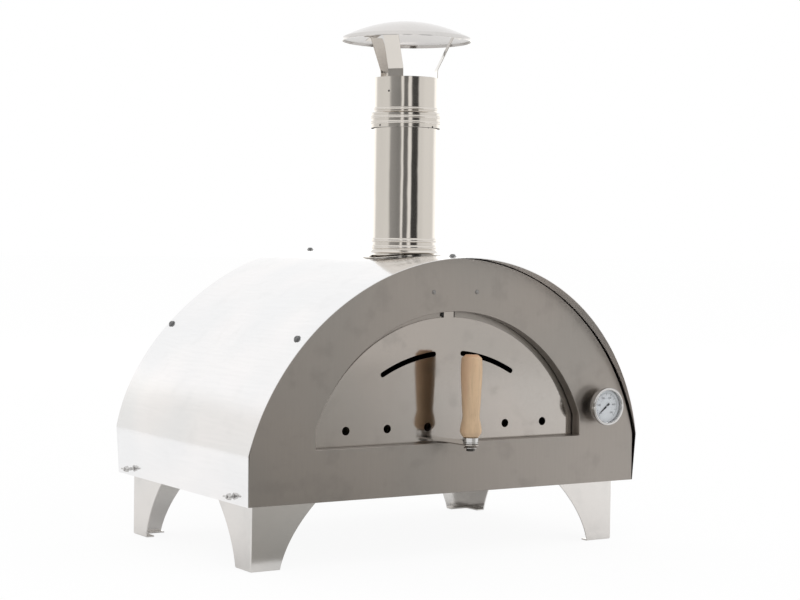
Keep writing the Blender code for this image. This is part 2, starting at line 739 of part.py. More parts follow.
def make_base(stud_holes):
    inner = (TRAY_HALF_WIDTH - TRAY_SHEET, TRAY_FRONT + TRAY_SHEET, TRAY_REAR - TRAY_SHEET)
    loops = [
        flat_loop(TRAY_HALF_WIDTH, TRAY_FRONT, TRAY_REAR, TRAY_FOOT),
        flat_loop(TRAY_HALF_WIDTH, TRAY_FRONT, TRAY_REAR, TRAY_RIM),
        flat_loop(*inner, TRAY_RIM),
        flat_loop(*inner, TRAY_FOOT + TRAY_SHEET),
    ]
    tray = add_object("base_tray", loft(loops, False), "satin")
    cut(tray, stud_holes)
    board = (inner[0] - BOARD_MARGIN, inner[1] + FIT, inner[2] - FIT)
    heights = (TRAY_FOOT + TRAY_SHEET + FIT, TRAY_RIM)
    add_object("floor_insulation", loft([flat_loop(*board, h) for h in heights], False), "wool")


def make_floor_tiles():
    """Four tiles that fill the chamber's floor, with an open joint between them."""
    half_width = CHAMBER_HALF_WIDTH - CHAMBER_SHEET - FIT
    front = CHAMBER_START
    rear = CHAMBER_END - FIT
    middle = (front + rear) / 2
    joint = TILE_JOINT / 2
    top = FLOOR_BASE + TILE_THICKNESS
    rows = (("front", front, middle - joint), ("rear", middle + joint, rear))
    columns = (("left", -half_width, -joint), ("right", joint, half_width))
    for row_name, near, far in rows:
        for side_name, left, right in columns:
            box(f"floor_tile_{row_name}_{side_name}", (left, near, FLOOR_BASE), (right, far, top), "stone")


def make_chamber_front():
    """The plate that ends the chamber, open at the mouth, against which the door closes."""
    outer = CHAMBER_ARCH.outline()
    rest = DOOR_ARCH.grown(-DOOR_REST).on_foot(SILL).outline()
    back = CHAMBER_FRONT + CHAMBER_FRONT_SHEET
    section = ((outer, CHAMBER_FRONT), (outer, back), (rest, back), (rest, CHAMBER_FRONT))
    plate = add_object("chamber_front", loft([upright_loop(*part) for part in section], True), "satin")
    low, high = DOOR_ARCH.apex - NOTCH_BELOW, MOUTH_ARCH.apex + NOTCH_ABOVE
    notch = [(-NOTCH_HALF_WIDTH, low), (-NOTCH_HALF_WIDTH, high), (NOTCH_HALF_WIDTH, high), (NOTCH_HALF_WIDTH, low)]
    loops = [upright_loop(notch, y) for y in (CHAMBER_FRONT - OVERRUN, back + OVERRUN)]
    stem = bore(
        STEM_RADIUS + FIT, at(GAUGE_X, CHAMBER_FRONT - OVERRUN, GAUGE_HEIGHT),
        at(GAUGE_X, back + OVERRUN, GAUGE_HEIGHT),
    )
    cut(plate, cutter("chamber_front_holes", [(loft(loops, False), Matrix.Identity(4)), stem]))


def arch_shell(name, outer, inner, front, back, material_name):
    """A sheet bent over an arch, open at its foot and at both ends."""
    outline = outer.outline() + inner.outline()[::-1]
    return slab(name, outline, front, back, material_name)


def make_chamber(flue_hole):
    inner = CHAMBER_ARCH.grown(-CHAMBER_SHEET).on_foot(FLOOR_BASE)
    vault = arch_shell("inner_vault", CHAMBER_ARCH, inner, CHAMBER_START, CHAMBER_END, "satin")
    cut(vault, flue_hole)
    wool_inner = CHAMBER_ARCH.grown(FIT).on_foot(FLOOR_BASE)
    wool = arch_shell("insulation_blanket", WOOL_ARCH, wool_inner, CHAMBER_START, CHAMBER_END, "wool")
    cut(wool, flue_hole)
    back = CHAMBER_END + FIT
    slab("chamber_back", CHAMBER_ARCH.outline(), back, back + CHAMBER_SHEET, "satin")
    wool_front = back + CHAMBER_SHEET + FIT
    slab("rear_insulation", WOOL_ARCH.outline(), wool_front, wool_front + REAR_WOOL_THICKNESS, "wool")


# Door and handle

def slot_mesh(side):
    """An arc slot with round ends, through the door: its arc's centre is under the door's middle."""
    (near_x, near_h), (far_x, far_h) = SLOT_INNER_END, SLOT_OUTER_END
    centre = (far_x ** 2 - near_x ** 2 + far_h ** 2 - near_h ** 2) / (2 * (far_h - near_h))
    radius = math.hypot(near_x, near_h - centre)
    first, last = (math.atan2(x, h - centre) for x, h in (SLOT_INNER_END, SLOT_OUTER_END))
    outline = []
    for angle, edge, turn in slot_walk(first, last):
        reach = radius + edge * SLOT_HALF_WIDTH
        x = reach * math.sin(angle) + turn * SLOT_HALF_WIDTH * math.cos(angle)
        h = reach * math.cos(angle) - turn * SLOT_HALF_WIDTH * math.sin(angle)
        outline.append((side * x, DOOR_FOOT + centre + h))
    loops = [upright_loop(outline, y) for y in (DOOR_FACE - OVERRUN, DOOR_FACE + DOOR_SHEET + OVERRUN)]
    return loft(loops, False), Matrix.Identity(4)


def slot_walk(first, last):
    """Angle along the arc, place across the slot and push past its end, once round its outline."""
    for start, end, edge in ((first, last, 1), (last, first, -1)):
        for step in range(SLOT_STEPS + 1):
            yield start + (end - start) * step / SLOT_STEPS, edge, 0
        for step in range(1, SLOT_END_STEPS):
            turn = math.pi * step / SLOT_END_STEPS
            yield end, edge * math.cos(turn), edge * math.sin(turn)


def tongue_outline(rear):
    """The tongue from above: wide at the door, drawn in by a hollow curve, round under the handle."""
    half = []
    for step in range(TONGUE_STEPS + 1):
        share = math.pi / 2 * step / TONGUE_STEPS
        half.append((
            TONGUE_ROOT_HALF_WIDTH - (TONGUE_ROOT_HALF_WIDTH - TONGUE_HALF_WIDTH) * math.sin(share),
            rear - TONGUE_FILLET * (1 - math.cos(share)),
        ))
    for step in range(1, TONGUE_STEPS + 1):
        share = math.pi / 2 * step / TONGUE_STEPS
        half.append((TONGUE_HALF_WIDTH * math.cos(share), -HANDLE_OFFSET - TONGUE_HALF_WIDTH * math.sin(share)))
    left = [(-x, y) for x, y in half]
    return half + left[-2::-1]


def make_door():
    """The door plate, with its tab and lug above and its tongue below, as one folded sheet."""
    back = DOOR_FACE + DOOR_SHEET
    plate = slab("door_plate", DOOR_ARCH.outline(), DOOR_FACE, back, "mirror")
    tab_top = MOUTH_ARCH.apex - FIT
    tab_foot = DOOR_ARCH.apex - DOOR_GAP
    tab = box("door_tab", (-TAB_HALF_WIDTH, DOOR_FACE, tab_foot), (TAB_HALF_WIDTH, back, tab_top), "mirror")
    lug_foot = DOOR_ARCH.apex
    lug = box(
        "door_lug", (-LUG_HALF_WIDTH, DOOR_FACE, lug_foot),
        (LUG_HALF_WIDTH, back + LUG_REACH, lug_foot + LUG_HEIGHT), "mirror",
    )
    outline = tongue_outline(back)
    loops = [[at(x, y, h) for x, y in outline] for h in (DOOR_FOOT, DOOR_FOOT + DOOR_SHEET)]
    tongue = add_object("door_tongue", loft(loops, False), "mirror")
    door = united(plate, tab, lug, tongue)
    holes = [slot_mesh(-1), slot_mesh(1)]
    for side in (-1, 1):
        for share in VENT_SHARES:
            x = side * share * VENT_REACH
            h = DOOR_FOOT + VENT_HEIGHT_ON_DOOR
            holes.append(bore(VENT_RADIUS, at(x, DOOR_FACE - OVERRUN, h), at(x, back + OVERRUN, h), HOLE_STEPS))
    bolt_y = -HANDLE_OFFSET
    low, high = at(0, bolt_y, DOOR_FOOT - OVERRUN), at(0, bolt_y, DOOR_FOOT + DOOR_SHEET + OVERRUN)
    holes.append(bore(HANDLE_BOLT_RADIUS + FIT, low, high))
    cut(door, cutter("door_holes", holes))
    return door


def make_handle():
    """The wooden handle on its ferrule above the tongue, and the bolt from below."""
    tongue_top = DOOR_FOOT + DOOR_SHEET
    ferrule_foot = tongue_top + FIT
    wood_foot = ferrule_foot + FERRULE_HEIGHT + FIT
    washer_top = DOOR_FOOT - FIT
    head_top = washer_top - WASHER_HEIGHT - FIT
    hole = HANDLE_BOLT_RADIUS + FIT
    bore_depth = HANDLE_BOLT_BITE + FIT

    def piece(name, profile, foot, material_name, closed=False):
        return turned(name, profile, at(0, -HANDLE_OFFSET, foot), material_name, ROUND_STEPS, closed)

    wood = [(share_r * HANDLE_RADIUS, share_h * HANDLE_LENGTH) for share_h, share_r in HANDLE_PROFILE_SHARES]
    wood = [(0, HANDLE_LENGTH), *reversed(wood), (hole, 0), (hole, bore_depth), (0, bore_depth)]
    pieces = [piece("wooden_handle", wood, wood_foot, "wood")]
    ferrule = (
        (hole, FERRULE_HEIGHT), (FERRULE_RADIUS - FERRULE_BEVEL, FERRULE_HEIGHT),
        (FERRULE_RADIUS, FERRULE_HEIGHT - FERRULE_BEVEL), (FERRULE_RADIUS, FERRULE_BEVEL),
        (FERRULE_RADIUS - FERRULE_BEVEL, 0), (hole, 0),
    )
    pieces.append(piece("handle_ferrule", ferrule, ferrule_foot, "chrome", True))
    washer = ((hole, WASHER_HEIGHT), (WASHER_RADIUS, WASHER_HEIGHT), (WASHER_RADIUS, 0), (hole, 0))
    pieces.append(piece("handle_washer", washer, washer_top - WASHER_HEIGHT, "chrome", True))
    shank_top = wood_foot + HANDLE_BOLT_BITE - head_top
    bolt = (
        (0, shank_top), (HANDLE_BOLT_RADIUS, shank_top), (HANDLE_BOLT_RADIUS, 0),
        (HANDLE_BOLT_HEAD_RADIUS, 0), (HANDLE_BOLT_HEAD_RADIUS, -HANDLE_BOLT_HEAD), (0, -HANDLE_BOLT_HEAD),
    )
    pieces.append(piece("handle_bolt", bolt, head_top, "chrome"))
    return pieces


# Thermometer

def make_thermometer():
    """A dial thermometer on a neck, with its probe through the panel; profiles run forward."""
    place = at(GAUGE_X, 0, GAUGE_HEIGHT)
    case_front = GAUGE_REACH - BEZEL_LIP
    case_back = case_front - CASE_DEPTH
    dial_face = GAUGE_REACH - DIAL_SET_BACK
    glass_front = case_front - FIT
    hole = STEM_RADIUS + FIT

    def piece(name, profile, material_name, closed=False, steps=ROUND_STEPS):
        return turned(name, profile, place, material_name, steps, closed, axis=(0, -1, 0))

    inner = CASE_RADIUS - CASE_WALL
    dial_back = dial_face - DIAL_THICKNESS - FIT
    case = (
        (inner, case_front), (CASE_RADIUS, case_front), (CASE_RADIUS, case_back),
        (NECK_RADIUS, case_back), (NECK_RADIUS, FIT), (hole, FIT), (hole, dial_back), (inner, dial_back),
    )
    piece("thermometer_case", case, "chrome", True)
    dial_radius = inner - FIT
    dial = ((0, dial_face), (dial_radius, dial_face), (dial_radius, dial_back + FIT), (0, dial_back + FIT))
    piece("thermometer_dial", dial, "paper")
    glass = (
        (0, glass_front), (dial_radius, glass_front),
        (dial_radius, glass_front - GLASS_THICKNESS), (0, glass_front - GLASS_THICKNESS),
    )
    piece("thermometer_glass", glass, "glass")
    lip = CASE_RADIUS - BEZEL_LIP
    bezel_back = GAUGE_REACH - BEZEL_DEPTH
    bezel = (
        (lip, case_front + FIT), (lip, GAUGE_REACH), (BEZEL_RADIUS - BEZEL_LIP / 2, GAUGE_REACH),
        (BEZEL_RADIUS, GAUGE_REACH - BEZEL_LIP / 2), (BEZEL_RADIUS, bezel_back),
        (CASE_RADIUS + FIT, bezel_back), (CASE_RADIUS + FIT, case_front + FIT),
    )
    piece("thermometer_bezel", bezel, "chrome", True)
    stem_front = dial_back - FIT
    stem = ((0, stem_front), (STEM_RADIUS, stem_front), (STEM_RADIUS, -STEM_LENGTH), (0, -STEM_LENGTH))
    piece("thermometer_stem", stem, "satin", steps=SMALL_STEPS)
    nut_front = -PANEL_SHEET - FIT
    flats = hole / math.cos(math.pi / NUT_SIDES)
    nut = (
        (flats, nut_front), (GAUGE_NUT_RADIUS, nut_front),
        (GAUGE_NUT_RADIUS, nut_front - GAUGE_NUT_HEIGHT), (flats, nut_front - GAUGE_NUT_HEIGHT),
    )
    piece("thermometer_nut", nut, "chrome", True, NUT_SIDES)
    make_needle(place, dial_face, glass_front - GLASS_THICKNESS)


def make_needle(place, dial_face, glass_back):
    """A pointer with a hub, turning on the axis of the dial just above its face."""
    low = dial_face + FIT
    blade_low = low + NEEDLE_THICKNESS
    blade_high = blade_low + NEEDLE_THICKNESS
    hub_high = min(blade_high + 2 * NEEDLE_THICKNESS, glass_back - FIT)
    hub_profile = ((0, hub_high), (NEEDLE_HUB_RADIUS, hub_high), (NEEDLE_HUB_RADIUS, low), (0, low))
    hub = add_object("thermometer_needle", turned_mesh(hub_profile, SMALL_STEPS), "black")
    outline = (
        (-NEEDLE_HALF_WIDTH, -NEEDLE_TAIL), (-NEEDLE_HALF_WIDTH, 0), (-NEEDLE_PIN_RADIUS / 2, NEEDLE_LENGTH),
        (NEEDLE_PIN_RADIUS / 2, NEEDLE_LENGTH), (NEEDLE_HALF_WIDTH, 0), (NEEDLE_HALF_WIDTH, -NEEDLE_TAIL),
    )
    loops = [[Vector((u, v, level)) for u, v in outline] for level in (blade_low, blade_high)]
    blade = add_object("needle_blade", loft(loops, False), "black")
    needle = united(hub, blade)
    stand = Vector((0, -1, 0)).to_track_quat("Z", "Y").to_matrix().to_4x4()
    turn = Matrix.Rotation(NEEDLE_REST, 4, "Y")
    needle.data.transform(turn @ stand)
    needle.location = place


# Flue and cowl

def saddle_loop(radius, lift, steps=ROUND_STEPS):
    """A circle round the flue that follows the vault's outer face at a height over it."""
    points = []
    for step in range(steps):
        angle = 2 * math.pi * step / steps
        x, y = radius * math.cos(angle), FLUE_Y + radius * math.sin(angle)
        points.append(at(x, y, vault_height(x, y) + lift))
    return points


def level_loop(radius, h, steps=ROUND_STEPS):
    """A level circle round the flue's axis."""
    angles = [2 * math.pi * step / steps for step in range(steps)]
    return [at(radius * math.cos(angle), FLUE_Y + radius * math.sin(angle), h) for angle in angles]


def make_flue_collar():
    """A saddle flange on the vault, in one with a spigot from the chamber up into the pipe."""
    outer = PIPE_RADIUS - PIPE_SHEET - 2 * FIT
    inner = outer - SPIGOT_SHEET
    foot = CHAMBER_ARCH.apex - 2 * CHAMBER_SHEET
    crest = vault_height(0, FLUE_Y)
    top = crest + SPIGOT_RISE
    lift = 2 * FIT
    loops = [
        level_loop(inner, foot), level_loop(outer, foot), saddle_loop(outer, lift),
        saddle_loop(SADDLE_RADIUS, lift), saddle_loop(SADDLE_RADIUS, lift + SADDLE_SHEET),
        saddle_loop(outer, lift + SADDLE_SHEET), level_loop(outer, top), level_loop(inner, top),
    ]
    add_object("flue_collar", loft(loops, True), "mirror")
    return crest + lift + SADDLE_SHEET + FLARE_LIFT


def ridge(radius, height, middle, half_length):
    """Profile points of a rolled ridge, from its top down."""
    points = []
    for step in range(RIDGE_STEPS + 1):
        angle = math.pi * step / RIDGE_STEPS
        points.append((radius + height * math.sin(angle), middle + half_length * math.cos(angle)))
    return points


def make_flue_pipe(foot):
    """The pipe with its flared foot and two rolled beads."""
    beads = (foot + LOWER_BEAD + BEAD_PITCH, foot + LOWER_BEAD)
    flare = []
    for step in range(FLARE_STEPS + 1):
        share = step / FLARE_STEPS
        spread = (FLARE_RADIUS - PIPE_RADIUS) * share ** 2
        flare.append((PIPE_RADIUS + spread, foot + FLARE_HEIGHT * (1 - share)))
    outer = [(PIPE_RADIUS, PIPE_TOP)]
    for middle in beads:
        outer += ridge(PIPE_RADIUS, BEAD_HEIGHT, middle, BEAD_HALF_LENGTH)
    inner = [(radius - PIPE_SHEET, h) for radius, h in reversed(flare)]
    inner.append((PIPE_RADIUS - PIPE_SHEET, PIPE_TOP))
    return turned("flue_pipe", outer + flare + inner, at(0, FLUE_Y, 0), "mirror", ROUND_STEPS, True)


def make_cowl():
    """The sleeve over the pipe, the three straps and the cap."""
    shoulder = PIPE_TOP + FIT + PIPE_SHEET
    wide = PIPE_RADIUS + SKIRT_STEP
    outer = [(PIPE_RADIUS, SLEEVE_TOP)]
    outer += ridge(PIPE_RADIUS, RIDGE_HEIGHT, shoulder + 2 * RIDGE_HALF_LENGTH, RIDGE_HALF_LENGTH)
    outer += [(PIPE_RADIUS, shoulder), (wide, shoulder - SKIRT_STEP / 2)]
    for number in (1, 2):
        outer += ridge(wide, RIDGE_HEIGHT, shoulder - number * RIDGE_PITCH, RIDGE_HALF_LENGTH)
    outer.append((wide, SLEEVE_FOOT))
    narrow_inner, wide_inner = PIPE_RADIUS - PIPE_SHEET, wide - PIPE_SHEET
    inner = [
        (wide_inner, SLEEVE_FOOT), (wide_inner, shoulder - SKIRT_STEP / 2 - PIPE_SHEET),
        (PIPE_RADIUS, shoulder - PIPE_SHEET), (narrow_inner, shoulder - PIPE_SHEET), (narrow_inner, SLEEVE_TOP),
    ]
    sleeve = turned("cowl_sleeve", outer + inner, at(0, FLUE_Y, 0), "mirror", ROUND_STEPS, True)
    pieces = [sleeve, make_rain_cap()]
    for number, angle in enumerate(STRAP_ANGLES, 1):
        pieces.append(make_strap(f"cowl_strap_{number}", math.radians(angle)))
    return pieces


def cap_underside(radius):
    """The height of the cap's underside, whose rings are straight between their radii."""
    ring = CAP_RADIUS / CAP_STEPS
    inner = min(int(radius / ring), CAP_STEPS - 1)
    heights = [CAP_RIM + CAP_RISE * (1 - (step / CAP_STEPS) ** 2) for step in (inner, inner + 1)]
    share = radius / ring - inner
    return heights[0] + (heights[1] - heights[0]) * share - CAP_SHEET


def make_rain_cap():
    rings = [CAP_RADIUS * step / CAP_STEPS for step in range(CAP_STEPS + 1)]
    outer = [(radius, cap_underside(radius) + CAP_SHEET) for radius in rings]
    outer.append((CAP_RADIUS, CAP_RIM - CAP_LIP))
    inside = CAP_RADIUS - CAP_SHEET
    inner = [(inside, CAP_RIM - CAP_LIP), (inside, cap_underside(inside))]
    inner += [(radius, cap_underside(radius)) for radius in rings[-2::-1]]
    return turned("rain_cap", outer + inner, at(0, FLUE_Y, 0), "mirror", CAP_SIDES)


def bent_sheet(path, thickness):
    """The closed outline of a sheet bent along a path, on the path's left, with mitred bends."""
    points = [Vector(point) for point in path]
    steps = [(after - before).normalized() for before, after in zip(points, points[1:])]
    left = [Vector((-step.y, step.x)) for step in steps]
    back = []
    for point, before, after in zip(points, [left[0], *left], [*left, left[-1]]):
        mitre = (before + after).normalized()
        back.append(point + mitre * (thickness / mitre.dot(before)))
    return points + back[::-1]


def make_strap(name, angle):
    """A flat strap inside the sleeve, flared out to the cap, with a tab under it."""
    sleeve_inner = (PIPE_RADIUS - PIPE_SHEET) * math.cos(math.pi / ROUND_STEPS) - FIT
    face = math.sqrt(sleeve_inner ** 2 - STRAP_HALF_WIDTH ** 2)
    tab_end = STRAP_TOP_RADIUS + STRAP_TAB

    def tab_height(radius):
        reach = math.hypot(radius, STRAP_HALF_WIDTH) / math.cos(math.pi / CAP_SIDES)
        return cap_underside(reach) - STRAP_SHEET - FIT

    path = (
        (face, SLEEVE_TOP - STRAP_BITE), (face, STRAP_BEND),
        (STRAP_TOP_RADIUS, tab_height(STRAP_TOP_RADIUS)), (tab_end, tab_height(tab_end)),
    )
    outline = bent_sheet(path, STRAP_SHEET)
    outward = Vector((math.cos(angle), math.sin(angle), 0))
    along = Vector((-math.sin(angle), math.cos(angle), 0))
    base = at(0, FLUE_Y, 0)
    loops = []
    for side in (-STRAP_HALF_WIDTH, STRAP_HALF_WIDTH):
        loops.append([base + outward * radius + along * side + Vector((0, 0, h)) for radius, h in outline])
    return add_object(name, loft(loops, False), "satin")


def parented(name, place, pieces):
    """An empty at a joint's place, carrying the pieces that move together."""
    empty = bpy.data.objects.new(name, None)
    empty.location = place
    bpy.context.collection.objects.link(empty)
    bpy.context.view_layer.update()
    for piece in pieces:
        piece.parent = empty
        piece.matrix_parent_inverse = empty.matrix_world.inverted()
    return empty


def main():
    for existing in list(bpy.data.objects):
        bpy.data.objects.remove(existing)
    MATERIALS.update(make_materials())
    screw_holes = make_screw_holes()
    stud_holes = make_stud_holes()
    flue_hole = make_flue_hole()
    make_outer_vault(flue_hole, screw_holes, stud_holes)
    make_vault_screws()
    face_holes = make_front_panel(screw_holes)
    make_rear_panel(screw_holes)
    make_panel_rivets(make_door_catch(face_holes))
    make_legs(stud_holes)
    make_base(stud_holes)
    make_floor_tiles()
    make_chamber_front()
    make_chamber(flue_hole)
    door_pieces = [make_door(), *make_handle()]
    parented("door_slide", at(0, -HANDLE_OFFSET, DOOR_FOOT), door_pieces)
    make_thermometer()
    pipe = make_flue_pipe(make_flue_collar())
    pipe_lift = parented("pipe_lift", at(0, FLUE_Y, VAULT_APEX), [pipe])
    cowl_lift = parented("cowl_lift", at(0, FLUE_Y, PIPE_TOP), make_cowl())
    cowl_lift.parent = pipe_lift
    cowl_lift.matrix_parent_inverse = pipe_lift.matrix_world.inverted()


main()
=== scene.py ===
import json
import math

import bmesh
import bpy
from mathutils import Matrix, Vector

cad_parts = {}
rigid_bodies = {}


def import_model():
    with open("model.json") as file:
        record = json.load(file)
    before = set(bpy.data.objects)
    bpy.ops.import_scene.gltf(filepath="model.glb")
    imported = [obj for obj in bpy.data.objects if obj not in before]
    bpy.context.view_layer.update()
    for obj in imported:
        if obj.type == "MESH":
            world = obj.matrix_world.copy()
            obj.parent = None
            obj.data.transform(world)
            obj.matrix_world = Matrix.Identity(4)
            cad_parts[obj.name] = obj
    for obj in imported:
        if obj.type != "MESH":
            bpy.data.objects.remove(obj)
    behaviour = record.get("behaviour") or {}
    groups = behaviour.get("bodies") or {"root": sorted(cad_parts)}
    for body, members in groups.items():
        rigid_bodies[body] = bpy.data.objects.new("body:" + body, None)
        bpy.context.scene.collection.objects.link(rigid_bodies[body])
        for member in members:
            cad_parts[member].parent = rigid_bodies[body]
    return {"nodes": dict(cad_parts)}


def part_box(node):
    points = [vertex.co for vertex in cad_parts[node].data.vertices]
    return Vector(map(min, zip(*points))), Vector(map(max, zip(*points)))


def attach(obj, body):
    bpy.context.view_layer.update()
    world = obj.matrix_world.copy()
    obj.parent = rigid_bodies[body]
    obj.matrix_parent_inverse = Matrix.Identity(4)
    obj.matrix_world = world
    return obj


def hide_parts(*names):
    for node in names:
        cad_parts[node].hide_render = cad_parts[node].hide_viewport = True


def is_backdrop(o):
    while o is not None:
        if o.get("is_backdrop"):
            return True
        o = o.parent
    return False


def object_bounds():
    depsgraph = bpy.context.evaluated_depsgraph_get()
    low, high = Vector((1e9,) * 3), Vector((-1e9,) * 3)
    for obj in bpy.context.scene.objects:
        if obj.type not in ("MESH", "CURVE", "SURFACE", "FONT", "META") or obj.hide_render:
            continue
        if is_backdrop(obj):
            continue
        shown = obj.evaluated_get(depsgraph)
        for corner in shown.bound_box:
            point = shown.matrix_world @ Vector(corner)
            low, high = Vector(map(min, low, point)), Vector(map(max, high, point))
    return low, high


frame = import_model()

bl_info = {
    "name": "Wood-fired pizza oven",
    "version": (1, 0, 0),
    "blender": (4, 5, 0),
    "location": "View3D > Sidebar > Pizza oven",
    "description": "Dresses the oven's frame with its sheet metal, door, handle, thermometer, flue and cowl",
    "category": "Object",
}

FRAME_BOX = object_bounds()

# Places taken from the frame
PANEL_LOW, PANEL_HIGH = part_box("front_panel")
VAULT_LOW, VAULT_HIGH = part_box("outer_vault")
DOOR_LOW, DOOR_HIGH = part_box("door_plate")
PIPE_LOW, PIPE_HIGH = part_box("flue_pipe")
SLEEVE_LOW, SLEEVE_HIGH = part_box("cowl_sleeve")
CAP_LOW, CAP_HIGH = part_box("rain_cap")
COLLAR_LOW, COLLAR_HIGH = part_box("flue_collar")
HANDLE_LOW, HANDLE_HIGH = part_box("wooden_handle")
BEZEL_LOW, BEZEL_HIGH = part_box("thermometer_bezel")
DIAL_LOW, DIAL_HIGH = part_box("thermometer_dial")
FACE = PANEL_LOW.y
FOOT = PANEL_LOW.z
HANDLE_AXIS = (HANDLE_LOW + HANDLE_HIGH) / 2
FLUE_AXIS = (CAP_LOW + CAP_HIGH) / 2
GAUGE_AXIS = (BEZEL_LOW + BEZEL_HIGH) / 2
TINY = 0.000001


def length(name, description, default):
    return bpy.props.FloatProperty(
        name=name, description=description, default=default, min=0, unit="LENGTH", precision=4)


def colour(name, description, default):
    return bpy.props.FloatVectorProperty(
        name=name, description=description, default=default, size=3, min=0, max=1, subtype="COLOR")


class OvenSizes(bpy.types.PropertyGroup):
    """Sizes of the sheet metal that the frame's boxes don't give."""
    side_height: length("Side height", "Height of the upright sides under the arch", 0.075)
    panel_sheet: length("Panel sheet", "Thickness of the front panel", 0.0012)
    panel_rim: length("Panel rim", "Depth of the front panel's turned-back rim", 0.0197)
    mouth_half_width: length("Mouth half width", "Half the width of the mouth", 0.241)
    mouth_sill: length("Mouth sill", "Height of the mouth's sill over the panel's foot", 0.0772)
    mouth_side: length("Mouth side", "Height of the mouth's upright sides", 0.0316)
    mouth_apex: length("Mouth apex", "Height of the mouth's top over the panel's foot", 0.2764)
    mouth_wall: length("Mouth wall", "Depth of the mouth's turned-back wall", 0.0177)
    door_gap: length("Door gap", "Gap between the door and the mouth", 0.0095)
    door_sheet: length("Door sheet", "Thickness of the door", 0.0017)
    vault_sheet: length("Vault sheet", "Thickness of the outer vault", 0.0008)
    flue_sheet: length("Flue sheet", "Thickness of the pipe, the sleeve and the cap", 0.0008)
    leg_sheet: length("Leg sheet", "Thickness of the legs", 0.002)


class OvenFinishes(bpy.types.PropertyGroup):
    """Colours of the oven's finishes. The steels' colours are set part by part to the tones the parts show, not to
    one steel. Besides each part's polish, they hold painted reflection: the vault's near-white stands for the bright
    studio it mirrors, and the front panel's dark grey for the dim studio before it.
    """
    # Painted reflection: the vault's near-white is brighter than any steel and stands for the bright studio its
    # mirror polish reflects.
    vault: colour("Vault", "Polished steel of the outer vault", (0.92, 0.92, 0.925))
    # Partly painted reflection: the panel's dark grey is its satin steel darkened for the dim studio it reflects. The
    # rear panel and the chamber's front plate take this colour too.
    panel: colour("Panel", "Satin steel of the front panel", (0.35, 0.325, 0.30))
    door: colour("Door", "Polished steel of the door", (0.46, 0.43, 0.40))
    flue: colour("Flue", "Polished steel of the flue and cowl", (0.72, 0.68, 0.63))
    leg: colour("Legs", "Polished steel of the legs", (0.74, 0.725, 0.705))
    inside: colour("Inside", "Plain steel of the chamber and tray", (0.30, 0.29, 0.28))
    wood: colour("Wood", "Pale beech of the handle", (0.53, 0.375, 0.235))
    stone: colour("Stone", "Refractory of the floor tiles", (0.62, 0.52, 0.40))


# The studio: its floor, wall, card and lamps. Angles on the wall run to the right of the camera's side.
CAMERA_TURN = -32.4
FLOOR_WHITE, FLOOR_SHEEN = 0.93, 0.3
WALL_RADIUS, WALL_HEIGHT, WALL_STRENGTH, WALL_ABOVE = 4.5, 3.0, 1.7, 1.0
WALL_FADE = (1.2, 1.8)
WALL_LEVELS = (
    (-180, 1.45), (-136, 1.40), (-122, 0.86), (-60, 0.84), (-53, 0.36), (-22, 0.26), (-16, 0.26), (-13, 1.0),
    (-8, 1.0), (-5, 0.17), (7, 0.15), (11, 1.0), (20, 0.95), (24, 0.06), (43, 0.05), (48, 0.82), (60, 0.82),
    (72, 0.90), (116, 0.90), (130, 1.40))
CARD_EDGE = (0.20, -0.46, 0.846, 0.533)
LAMPS = (("key", (-2.4, -1.2, 2.6), 1.6, 8.0), ("fill", (2.6, -2.4, 1.8), 2.0, 16.0))


# Materials: shader maths as Python expressions

class Link:
    """A socket's value in one material's nodes, with arithmetic that adds Math nodes."""

    def __init__(self, nodes, socket):
        self.nodes = nodes
        self.socket = socket

    def math(self, operation, *values, clamp=False):
        settings = {"operation": operation, "use_clamp": clamp}
        return self.nodes.add("ShaderNodeMath", settings, *values)

    def __add__(self, other):
        return self.math("ADD", self, other)

    def __radd__(self, other):
        return self.math("ADD", other, self)

    def __sub__(self, other):
        return self.math("SUBTRACT", self, other)

    def __rsub__(self, other):
        return self.math("SUBTRACT", other, self)

    def __mul__(self, other):
        return self.math("MULTIPLY", self, other)

    def __rmul__(self, other):
        return self.math("MULTIPLY", other, self)

    def __truediv__(self, other):
        return self.math("DIVIDE", self, other)

    def clamped(self):
        return self.math("ADD", self, 0.0, clamp=True)

    def within(self, low, high):
        """One between two limits and zero outside them."""
        return self.math("GREATER_THAN", self, low) * self.math("LESS_THAN", self, high)

    def smooth(self, low, high):
        """A smooth step from zero at low to one at high."""
        settings = {"interpolation_type": "SMOOTHSTEP"}
        named = {"Value": self, "From Min": low, "From Max": high, "To Min": 0.0, "To Max": 1.0}
        return self.nodes.add("ShaderNodeMapRange", settings, output="Result", **named)


